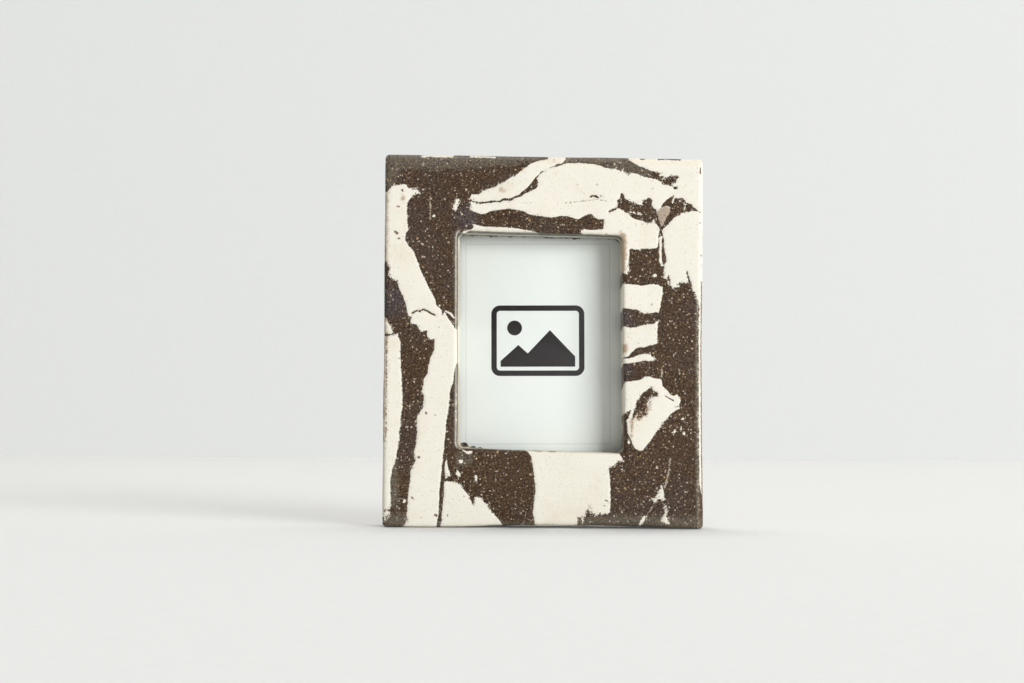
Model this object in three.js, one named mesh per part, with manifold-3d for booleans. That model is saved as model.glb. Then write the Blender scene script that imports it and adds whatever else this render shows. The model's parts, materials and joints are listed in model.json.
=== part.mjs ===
// Small photo frame: a thick slab of marbled clay with a window, loaded from behind.
// The print lies between a clear pane and a board, and four turn buttons hold the board in.
// Millimetres, +Z up, front towards -Y, origin under the middle of the outer box.
// Left and right are as seen from the front.

import * as THREE from 'three';
import { mergeVertices } from 'three/addons/utils/BufferGeometryUtils.js';
import Module from 'manifold-3d';

const wasm = await Module();
wasm.setup();

// Print: a picture with white borders, as instant film has
const pictureWidth = 46;
const pictureHeight = 62;
const borderSide = 4;
const borderTop = 7;
const borderBottom = 17;
const printCornerRadius = 2.5;
const printThickness = 0.5;

// Pane and board, cut to the print's outline
const paneThickness = 1.5;
const boardThickness = 3;
const thumbNotchRadius = 8;
const boardEdge = 0.3;
const paneEdge = 0.2;

// Clay body: the bars are measured from the window's opening to the outside
const barLeft = 23.35;
const barRight = 25.15;
const barTop = 24.7;
const barBottom = 23.7;
const sideMargin = 1.85; // the opening stands this far outside the picture at the sides
const endMargin = 1.9; // the same above and below the picture
const ledgeDepth = 8.6; // front face to the ledge that the pane lies on
const outerCornerRadius = 1.3;
const windowCornerRadius = 1.6;
const backEdge = 0.9;

// Hand cutting: how far the edges stray from square
const outerSlope = 0.9; // the left side stands this much taller than the right one
const windowSkew = -0.58; // the window's top edge stands this far to the right of its base
const windowTaper = 0.45; // the window's base is this much wider than its top
const windowTopSlope = 1.1; // the window's top edge stands this much higher at the left
const windowBaseSlope = 1.28;
const baseArch = 0.8; // the base lifts this much between its two feet
const leftFoot = 15; // flat length of the base at its left end
const leftRamp = 25; // from there to the full height of the arch
const rightFoot = 5;
const rightRamp = 7;

// Softened edges: the shoulder runs round the outside of the front, the lip round the window
const topShoulder = 4;
const topShoulderDrop = 3;
const sideShoulder = 1.3;
const sideShoulderDrop = 1.6;
const baseShoulder = 1.2;
const topLip = 0.9;
const topLipDrop = 1.1;
const leftLip = 0.7;
const rightLip = 0.6;
const sideLipDrop = 0.9;
const baseLip = 0.3;
const baseLipDrop = 0.5;

// Draft of the window: each side opens this much from the ledge to the front
const baseDraft = 0.1;
const rightDraft = 0.3;
const topDraft = 0.6;
const leftDraft = 0.7;

// Turn buttons, with the screw, washer and insert of each
const buttonReach = 13; // pivot to tip
const buttonHubRadius = 4.5;
const buttonTipRadius = 2.6;
const buttonThickness = 1;
const buttonEdge = 0.2;
const pivotOffset = 6.8; // pocket wall to pivot
const pivotInset = 22; // end of the board to pivot
const screwRadius = 1.45;
const screwGrip = 5.6; // length of screw inside the insert
const headRadius = 2.9;
const headHeight = 1.5;
const headCrown = 0.5;
const slotWidth = 0.7;
const slotDepth = 0.8;
const washerRadius = 3.9;
const washerThickness = 0.6;
const washerEdge = 0.12;
const insertRadius = 2.4;
const insertLength = 6.4;
const insertGroove = 0.3;
const insertBands = 2;

// Bumper pads at the back corners
const padRadius = 4.75;
const padTipRadius = 2.4;
const padInset = 9.5; // pad centre from the outer edges

// Clearances
const stackGap = 0.1;
const pocketGap = 0.4;
const boardGap = 0.3;
const turnGap = 0.12;
const screwGap = 0.15;
const buttonBoreGap = 0.35;
const insertGap = 0.15;
const holeBottomGap = 0.6;
const padClearance = 0.5; // the pads reach this far beyond the screw heads

// Fineness of the curves
const arcSteps = 5;
const sideSteps = 12;
const roundSteps = 5;
const turnSides = 20;
const boardSides = 8;
const buttonSides = 10;

// Worked-out sizes
const printWidth = pictureWidth + 2 * borderSide;
const printHeight = pictureHeight + borderTop + borderBottom;
const openingWidth = pictureWidth + 2 * sideMargin;
const openingHeight = pictureHeight + 2 * endMargin;
const frameWidth = barLeft + openingWidth + barRight;
const frameHeight = barBottom + openingHeight + barTop;
const fasteningHeight = washerThickness + 2 * turnGap + buttonThickness + headHeight;
const padHeight = fasteningHeight + padClearance;
const stackDepth = 3 * stackGap + paneThickness + printThickness + boardThickness;
const clayDepth = ledgeDepth + stackDepth - washerThickness;
const overallDepth = clayDepth + padHeight;

// Worked-out places
const frontY = -overallDepth / 2;
const backY = frontY + clayDepth;
const paneY = frontY + ledgeDepth + stackGap;
const printY = paneY + paneThickness + stackGap;
const boardY = printY + printThickness + stackGap;
const openingX = (barLeft - barRight) / 2;
const openingZ = barBottom + openingHeight / 2;
const printZ = openingZ + (borderTop - borderBottom) / 2;
const pocketWidth = printWidth + 2 * pocketGap;
const pocketHeight = printHeight + 2 * pocketGap;
const boardWidth = pocketWidth - 2 * boardGap;
const boardHeight = pocketHeight - 2 * boardGap;
const boardCornerRadius = printCornerRadius + pocketGap - boardGap;

// Softened edges in the order bottom, right, top, left
const shoulderWidths = [baseShoulder, sideShoulder, topShoulder, sideShoulder];
const shoulderDrops = [baseShoulder, sideShoulderDrop, topShoulderDrop, sideShoulderDrop];
const lipWidths = [baseLip, rightLip, topLip, leftLip];
const lipDrops = [baseLipDrop, sideLipDrop, topLipDrop, sideLipDrop];
const draftWidths = [baseDraft, rightDraft, topDraft, leftDraft];

// Materials
function finish(color, roughness, metalness = 0) {
  return new THREE.MeshStandardMaterial({ color, roughness, metalness });
}
const marbledClay = finish(0x8b8072, 0.5);
const clearPane = new THREE.MeshStandardMaterial({
  color: 0xf4f8f7, roughness: 0.05, metalness: 0, transparent: true, opacity: 0.25,
});
const printCard = finish(0xe8eee9, 0.35);
const plywood = finish(0xc9a673, 0.65);
const brass = finish(0xc9a24e, 0.3, 1);
const nylon = finish(0xeceae2, 0.4);
const softPad = finish(0x3b3a38, 0.8);

// Four corners of a hand-cut outline: bottom left, bottom right, top right, top left
function handCutQuad(centreX, centreZ, width, height, skew, taper, baseSlope, topSlope) {
  const left = centreX - width / 2;
  const right = centreX + width / 2;
  const base = centreZ - height / 2;
  const top = centreZ + height / 2;
  return [
    new THREE.Vector2(left - skew / 2 - taper / 4, base + baseSlope / 2),
    new THREE.Vector2(right - skew / 2 + taper / 4, base - baseSlope / 2),
    new THREE.Vector2(right + skew / 2 - taper / 4, top - topSlope / 2),
    new THREE.Vector2(left + skew / 2 + taper / 4, top + topSlope / 2),
  ];
}

// The sides of a quad as lines, each moved inwards by its own distance
function insetSides(corners, insets) {
  return corners.map((start, i) => {
    const along = corners[(i + 1) % 4].clone().sub(start).normalize();
    const inward = new THREE.Vector2(-along.y, along.x);
    return { point: start.clone().addScaledVector(inward, insets[i]), along, inward };
  });
}

function meeting(first, second) {
  const across = second.point.clone().sub(first.point);
  const travel = across.cross(second.along) / first.along.cross(second.along);
  return first.point.clone().addScaledVector(first.along, travel);
}

function insetQuad(corners, insets) {
  const lines = insetSides(corners, insets);
  return lines.map((line, i) => meeting(lines[(i + 3) % 4], line));
}

// Height of the base above its feet, at a distance along it
function archRise(distance, length) {
  const left = THREE.MathUtils.smoothstep(distance, leftFoot, leftFoot + leftRamp);
  const right = THREE.MathUtils.smoothstep(length - distance, rightFoot, rightFoot + rightRamp);
  return baseArch * left * right;
}

// One ring of the body: a quad with inset sides and round corners, at a depth behind the front.
// Every ring has as many points as the next, so that rings can be joined one to another.
function bodyRing(corners, insets, radius, depths, arched = false) {
  const quad = insetQuad(corners, insets);
  const lines = insetSides(quad, [radius, radius, radius, radius]);
  const centres = insetQuad(quad, [radius, radius, radius, radius]);
  const points = [];
  for (let i = 0; i < 4; i += 1) {
    const previous = (i + 3) % 4;
    const startAngle = lines[previous].inward.clone().negate().angle();
    const endAngle = lines[i].inward.clone().negate().angle();
    const turn = THREE.MathUtils.euclideanModulo(endAngle - startAngle, 2 * Math.PI);
    for (let step = 0; step <= arcSteps; step += 1) {
      const share = step / arcSteps;
      const angle = startAngle + turn * share;
      const x = centres[i].x + radius * Math.cos(angle);
      const z = centres[i].y + radius * Math.sin(angle);
      const depth = THREE.MathUtils.lerp(depths[previous], depths[i], share);
      points.push(new THREE.Vector3(x, frontY + depth, z));
    }
    const start = centres[i].clone().addScaledVector(lines[i].inward, -radius);
    const end = centres[(i + 1) % 4].clone().addScaledVector(lines[i].inward, -radius);
    const length = start.distanceTo(end);
    for (let step = 1; step < sideSteps; step += 1) {
      const spot = start.clone().lerp(end, step / sideSteps);
      const rise = arched && i === 0 ? archRise(length * step / sideSteps, length) : 0;
      points.push(new THREE.Vector3(spot.x, frontY + depths[i], spot.y + rise));
    }
  }
  return points;
}

// Rings of a quarter-round edge, from the wall (share 0) to the face (share 1)
function roundedEdge(share, widths, drops) {
  const angle = share * Math.PI / 2;
  return {
    insets: widths.map((width) => width * (1 - Math.cos(angle))),
    depths: drops.map((drop) => drop * (1 - Math.sin(angle))),
  };
}

function four(value) {
  return [value, value, value, value];
}

function bodyRings() {
  const outer = handCutQuad(0, frameHeight / 2, frameWidth, frameHeight, 0, 0, 0, outerSlope);
  const opening = handCutQuad(
    openingX, openingZ, openingWidth, openingHeight,
    windowSkew, windowTaper, windowBaseSlope, windowTopSlope,
  );
  const pocket = handCutQuad(openingX, printZ, pocketWidth, pocketHeight, 0, 0, 0, 0);
  const pocketRadius = printCornerRadius + pocketGap;
  const rings = [];
  for (let step = roundSteps; step >= 0; step -= 1) {
    const { insets, depths } = roundedEdge(step / roundSteps, four(backEdge), four(backEdge));
    const fromFront = depths.map((depth) => clayDepth - depth);
    rings.push(bodyRing(outer, insets, outerCornerRadius, fromFront, true));
  }
  for (let step = 0; step <= roundSteps; step += 1) {
    const { insets, depths } = roundedEdge(step / roundSteps, shoulderWidths, shoulderDrops);
    rings.push(bodyRing(outer, insets, outerCornerRadius, depths, true));
  }
  for (let step = roundSteps; step >= 0; step -= 1) {
    const { insets, depths } = roundedEdge(step / roundSteps, lipWidths, lipDrops);
    const drafts = depths.map((depth, i) => draftWidths[i] * (1 - depth / ledgeDepth));
    const outsets = insets.map((inset, i) => -inset - drafts[i]);
    rings.push(bodyRing(opening, outsets, windowCornerRadius, depths));
  }
  rings.push(bodyRing(opening, four(0), windowCornerRadius, four(ledgeDepth)));
  rings.push(bodyRing(pocket, four(0), pocketRadius, four(ledgeDepth)));
  rings.push(bodyRing(pocket, four(0), pocketRadius, four(clayDepth)));
  return rings;
}

// Closed skin over rings that run round the section and back to the first
function skinOver(rings) {
  const count = rings[0].length;
  const positions = rings.flat().flatMap((point) => [point.x, point.y, point.z]);
  const triangles = [];
  for (let r = 0; r < rings.length; r += 1) {
    const here = r * count;
    const next = ((r + 1) % rings.length) * count;
    for (let i = 0; i < count; i += 1) {
      const j = (i + 1) % count;
      triangles.push(here + i, here + j, next + j, here + i, next + j, next + i);
    }
  }
  const geometry = new THREE.BufferGeometry();
  geometry.setAttribute('position', new THREE.Float32BufferAttribute(positions, 3));
  geometry.setIndex(triangles);
  return geometry;
}

// Solids for cutting
function toSolid(geometry) {
  const bare = geometry.clone();
  bare.deleteAttribute('normal');
  bare.deleteAttribute('uv');
  const merged = mergeVertices(bare);
  const vertProperties = new Float32Array(merged.attributes.position.array);
  const triVerts = new Uint32Array(merged.index.array);
  return new wasm.Manifold(new wasm.Mesh({ numProp: 3, vertProperties, triVerts }));
}

function toGeometry(solid) {
  const { vertProperties, triVerts } = solid.getMesh();
  const geometry = new THREE.BufferGeometry();
  geometry.setAttribute('position', new THREE.BufferAttribute(vertProperties, 3));
  geometry.setIndex(new THREE.BufferAttribute(triVerts, 1));
  geometry.computeVertexNormals();
  return geometry;
}

// Flat pieces: an outline in X and Z with eased edges, its front at y = 0
function flatPiece(shape, thickness, edge, curveSegments) {
  const geometry = new THREE.ExtrudeGeometry(shape, {
    depth: thickness - 2 * edge,
    bevelEnabled: edge > 0,
    bevelThickness: edge,
    bevelSize: edge,
    bevelOffset: -edge,
    bevelSegments: 1,
    curveSegments,
  });
  geometry.rotateX(Math.PI / 2);
  geometry.translate(0, thickness - edge, 0);
  return geometry;
}

function roundedRectangle(width, height, radius) {
  const right = width / 2;
  const top = height / 2;
  const shape = new THREE.Shape();
  shape.absarc(right - radius, top - radius, radius, 0, Math.PI / 2);
  shape.absarc(radius - right, top - radius, radius, Math.PI / 2, Math.PI);
  shape.absarc(radius - right, radius - top, radius, Math.PI, 1.5 * Math.PI);
  shape.absarc(right - radius, radius - top, radius, 1.5 * Math.PI, 2 * Math.PI);
  shape.closePath();
  return shape;
}

// The board has a half-round thumb notch in its top edge
function boardOutline() {
  const right = boardWidth / 2;
  const top = boardHeight / 2;
  const radius = boardCornerRadius;
  const shape = new THREE.Shape();
  shape.absarc(right - radius, top - radius, radius, 0, Math.PI / 2);
  shape.absarc(0, top, thumbNotchRadius, 0, Math.PI, true);
  shape.absarc(radius - right, top - radius, radius, Math.PI / 2, Math.PI);
  shape.absarc(radius - right, radius - top, radius, Math.PI, 1.5 * Math.PI);
  shape.absarc(right - radius, radius - top, radius, 1.5 * Math.PI, 2 * Math.PI);
  shape.closePath();
  return shape;
}

// Turned pieces: closed profiles of [radius, y], going up on the outside
function turned(profile) {
  const points = profile.map(([radius, y]) => new THREE.Vector2(radius, y));
  return new THREE.LatheGeometry(points, turnSides);
}

const screwHoleRadius = screwRadius + screwGap;
const insertHoleRadius = insertRadius + insertGap;
const insertHoleDepth = insertLength + holeBottomGap;

function insertGeometry() {
  const profile = [[screwHoleRadius, -insertLength], [insertRadius, -insertLength]];
  const band = insertLength / (2 * insertBands + 1);
  for (let i = 0; i < insertBands; i += 1) {
    const start = -insertLength + band * (2 * i + 1);
    profile.push([insertRadius, start], [insertRadius - insertGroove, start]);
    profile.push([insertRadius - insertGroove, start + band], [insertRadius, start + band]);
  }
  profile.push([insertRadius, 0], [screwHoleRadius, 0], [screwHoleRadius, -insertLength]);
  return turned(profile);
}

function washerGeometry() {
  const outside = washerRadius - washerEdge;
  return turned([
    [screwHoleRadius, 0],
    [outside, 0],
    [washerRadius, washerEdge],
    [washerRadius, washerThickness - washerEdge],
    [outside, washerThickness],
    [screwHoleRadius, washerThickness],
    [screwHoleRadius, 0],
  ]);
}

function screwGeometry() {
  const headY = fasteningHeight - headHeight;
  const shoulderY = fasteningHeight - headCrown;
  const body = toSolid(turned([
    [0, -screwGrip],
    [screwRadius, -screwGrip],
    [screwRadius, headY],
    [headRadius, headY],
    [headRadius, shoulderY],
    [headRadius - headCrown, fasteningHeight - headCrown / 3],
    [headRadius - 3 * headCrown, fasteningHeight],
    [0, fasteningHeight],
  ]));
  const slot = new THREE.BoxGeometry(4 * headRadius, 2 * slotDepth, slotWidth);
  slot.translate(0, fasteningHeight, 0);
  return toGeometry(body.subtract(toSolid(slot)));
}

// A teardrop with its pivot at the origin and its tip towards +X
function buttonGeometry() {
  const spread = buttonReach - buttonTipRadius;
  const lean = Math.acos((buttonHubRadius - buttonTipRadius) / spread);
  const shape = new THREE.Shape();
  shape.absarc(0, 0, buttonHubRadius, lean, 2 * Math.PI - lean);
  shape.absarc(spread, 0, buttonTipRadius, -lean, lean);
  shape.closePath();
  const bore = new THREE.Path();
  bore.absarc(0, 0, screwRadius + buttonBoreGap, 0, 2 * Math.PI, true);
  shape.holes.push(bore);
  return flatPiece(shape, buttonThickness, buttonEdge, buttonSides);
}

function padGeometry() {
  const bulge = padRadius - padTipRadius;
  const skirt = padHeight / 4;
  const profile = [[0, 0], [padRadius, 0], [padRadius, skirt]];
  for (let step = 1; step <= roundSteps; step += 1) {
    const angle = step / roundSteps * Math.PI / 2;
    const radius = padTipRadius + bulge * Math.cos(angle);
    profile.push([radius, skirt + (padHeight - skirt) * Math.sin(angle)]);
  }
  profile.push([0, padHeight]);
  return turned(profile);
}

// Clay body with a blind hole behind each pivot
const pocketLeft = openingX - pocketWidth / 2;
const pocketRight = openingX + pocketWidth / 2;
const pivotDrop = printHeight / 2 - pivotInset;
const corners = [
  { name: 'upper_left', side: -1, level: 1 },
  { name: 'upper_right', side: 1, level: 1 },
  { name: 'lower_left', side: -1, level: -1 },
  { name: 'lower_right', side: 1, level: -1 },
].map((corner) => {
  const pivotX = corner.side < 0 ? pocketLeft - pivotOffset : pocketRight + pivotOffset;
  const padZ = corner.level < 0 ? padInset : frameHeight - padInset;
  return {
    ...corner,
    pivot: new THREE.Vector3(pivotX, backY, printZ + corner.level * pivotDrop),
    pad: new THREE.Vector3(corner.side * (frameWidth / 2 - padInset), backY, padZ),
  };
});

function clayGeometry() {
  let body = toSolid(skinOver(bodyRings()));
  for (const { pivot } of corners) {
    const hole = new THREE.CylinderGeometry(
      insertHoleRadius, insertHoleRadius, 2 * insertHoleDepth, turnSides,
    );
    hole.translate(pivot.x, pivot.y, pivot.z);
    body = body.subtract(toSolid(hole));
  }
  return toGeometry(body);
}

const photoFrame = new THREE.Group();

function addPiece(name, geometry, material, place = new THREE.Vector3()) {
  const mesh = new THREE.Mesh(geometry, material);
  mesh.name = name;
  mesh.position.copy(place);
  photoFrame.add(mesh);
  return mesh;
}

const paneGeometry = flatPiece(
  roundedRectangle(printWidth, printHeight, printCornerRadius), paneThickness, paneEdge, arcSteps,
);
const printGeometry = flatPiece(
  roundedRectangle(printWidth, printHeight, printCornerRadius), printThickness, 0, arcSteps,
);
const boardGeometry = flatPiece(boardOutline(), boardThickness, boardEdge, boardSides);

addPiece('ceramic_frame', clayGeometry(), marbledClay);
addPiece('glazing_pane', paneGeometry, clearPane, new THREE.Vector3(openingX, paneY, printZ));
addPiece('photo_print', printGeometry, printCard, new THREE.Vector3(openingX, printY, printZ));
addPiece('backing_board', boardGeometry, plywood, new THREE.Vector3(openingX, boardY, printZ));

for (const { name, side, pivot, pad } of corners) {
  const buttonPlace = pivot.clone();
  buttonPlace.y += washerThickness + turnGap;
  const button = addPiece(`turn_button_${name}`, buttonGeometry(), brass, buttonPlace);
  button.rotation.y = side < 0 ? 0 : Math.PI;
  addPiece(`pivot_screw_${name}`, screwGeometry(), brass, pivot);
  addPiece(`pivot_washer_${name}`, washerGeometry(), nylon, pivot);
  addPiece(`threaded_insert_${name}`, insertGeometry(), brass, pivot);
  addPiece(`bumper_pad_${name}`, padGeometry(), softPad, pad);
}

export default photoFrame;
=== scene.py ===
"""Looks of a small marbled clay photo frame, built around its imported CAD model.

The file is laid out as an add-on: settings, one operator for each piece or group of like pieces,
one operator for the stage, and a panel in the 3D view's sidebar that lists them.
"""

import json
import math
from contextlib import contextmanager

import bmesh
import bpy
import numpy as np
from bpy.props import FloatProperty, FloatVectorProperty, PointerProperty
from mathutils import Matrix, Vector, noise

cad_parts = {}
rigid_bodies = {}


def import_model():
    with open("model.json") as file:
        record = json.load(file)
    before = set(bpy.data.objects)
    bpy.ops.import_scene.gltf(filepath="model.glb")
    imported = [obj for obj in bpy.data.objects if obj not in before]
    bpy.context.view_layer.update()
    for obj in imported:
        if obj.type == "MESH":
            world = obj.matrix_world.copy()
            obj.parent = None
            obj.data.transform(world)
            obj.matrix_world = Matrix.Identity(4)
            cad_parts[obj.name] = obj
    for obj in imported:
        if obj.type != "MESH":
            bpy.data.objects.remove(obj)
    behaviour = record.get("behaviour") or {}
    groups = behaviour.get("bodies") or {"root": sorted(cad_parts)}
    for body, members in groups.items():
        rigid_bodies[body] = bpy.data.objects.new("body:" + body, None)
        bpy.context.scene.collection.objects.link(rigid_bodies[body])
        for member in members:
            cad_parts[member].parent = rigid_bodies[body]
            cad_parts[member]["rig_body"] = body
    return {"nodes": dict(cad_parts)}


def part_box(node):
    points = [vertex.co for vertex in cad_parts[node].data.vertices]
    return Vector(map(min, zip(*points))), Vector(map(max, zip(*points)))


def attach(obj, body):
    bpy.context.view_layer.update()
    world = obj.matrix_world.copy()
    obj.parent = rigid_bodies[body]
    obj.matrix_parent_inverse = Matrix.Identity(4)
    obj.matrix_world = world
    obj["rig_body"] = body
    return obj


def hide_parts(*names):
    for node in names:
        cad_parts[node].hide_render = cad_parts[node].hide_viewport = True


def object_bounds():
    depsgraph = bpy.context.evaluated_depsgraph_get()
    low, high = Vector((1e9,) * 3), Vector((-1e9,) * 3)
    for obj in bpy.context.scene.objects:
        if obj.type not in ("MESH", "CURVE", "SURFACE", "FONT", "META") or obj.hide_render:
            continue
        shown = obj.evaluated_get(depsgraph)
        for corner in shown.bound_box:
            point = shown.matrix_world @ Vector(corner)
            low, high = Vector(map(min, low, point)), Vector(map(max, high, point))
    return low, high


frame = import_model()
cad_low, cad_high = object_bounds()

bl_info = {
    "name": "Marbled clay photo frame",
    "version": (1, 0, 0),
    "blender": (4, 5, 0),
    "location": "View3D > Sidebar > Photo Frame",
    "description": "Builds the looks of a slab-built clay photo frame around its CAD model",
    "category": "Add Mesh",
}

MM = 0.001
CORNERS = ("upper_left", "upper_right", "lower_left", "lower_right")

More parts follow.
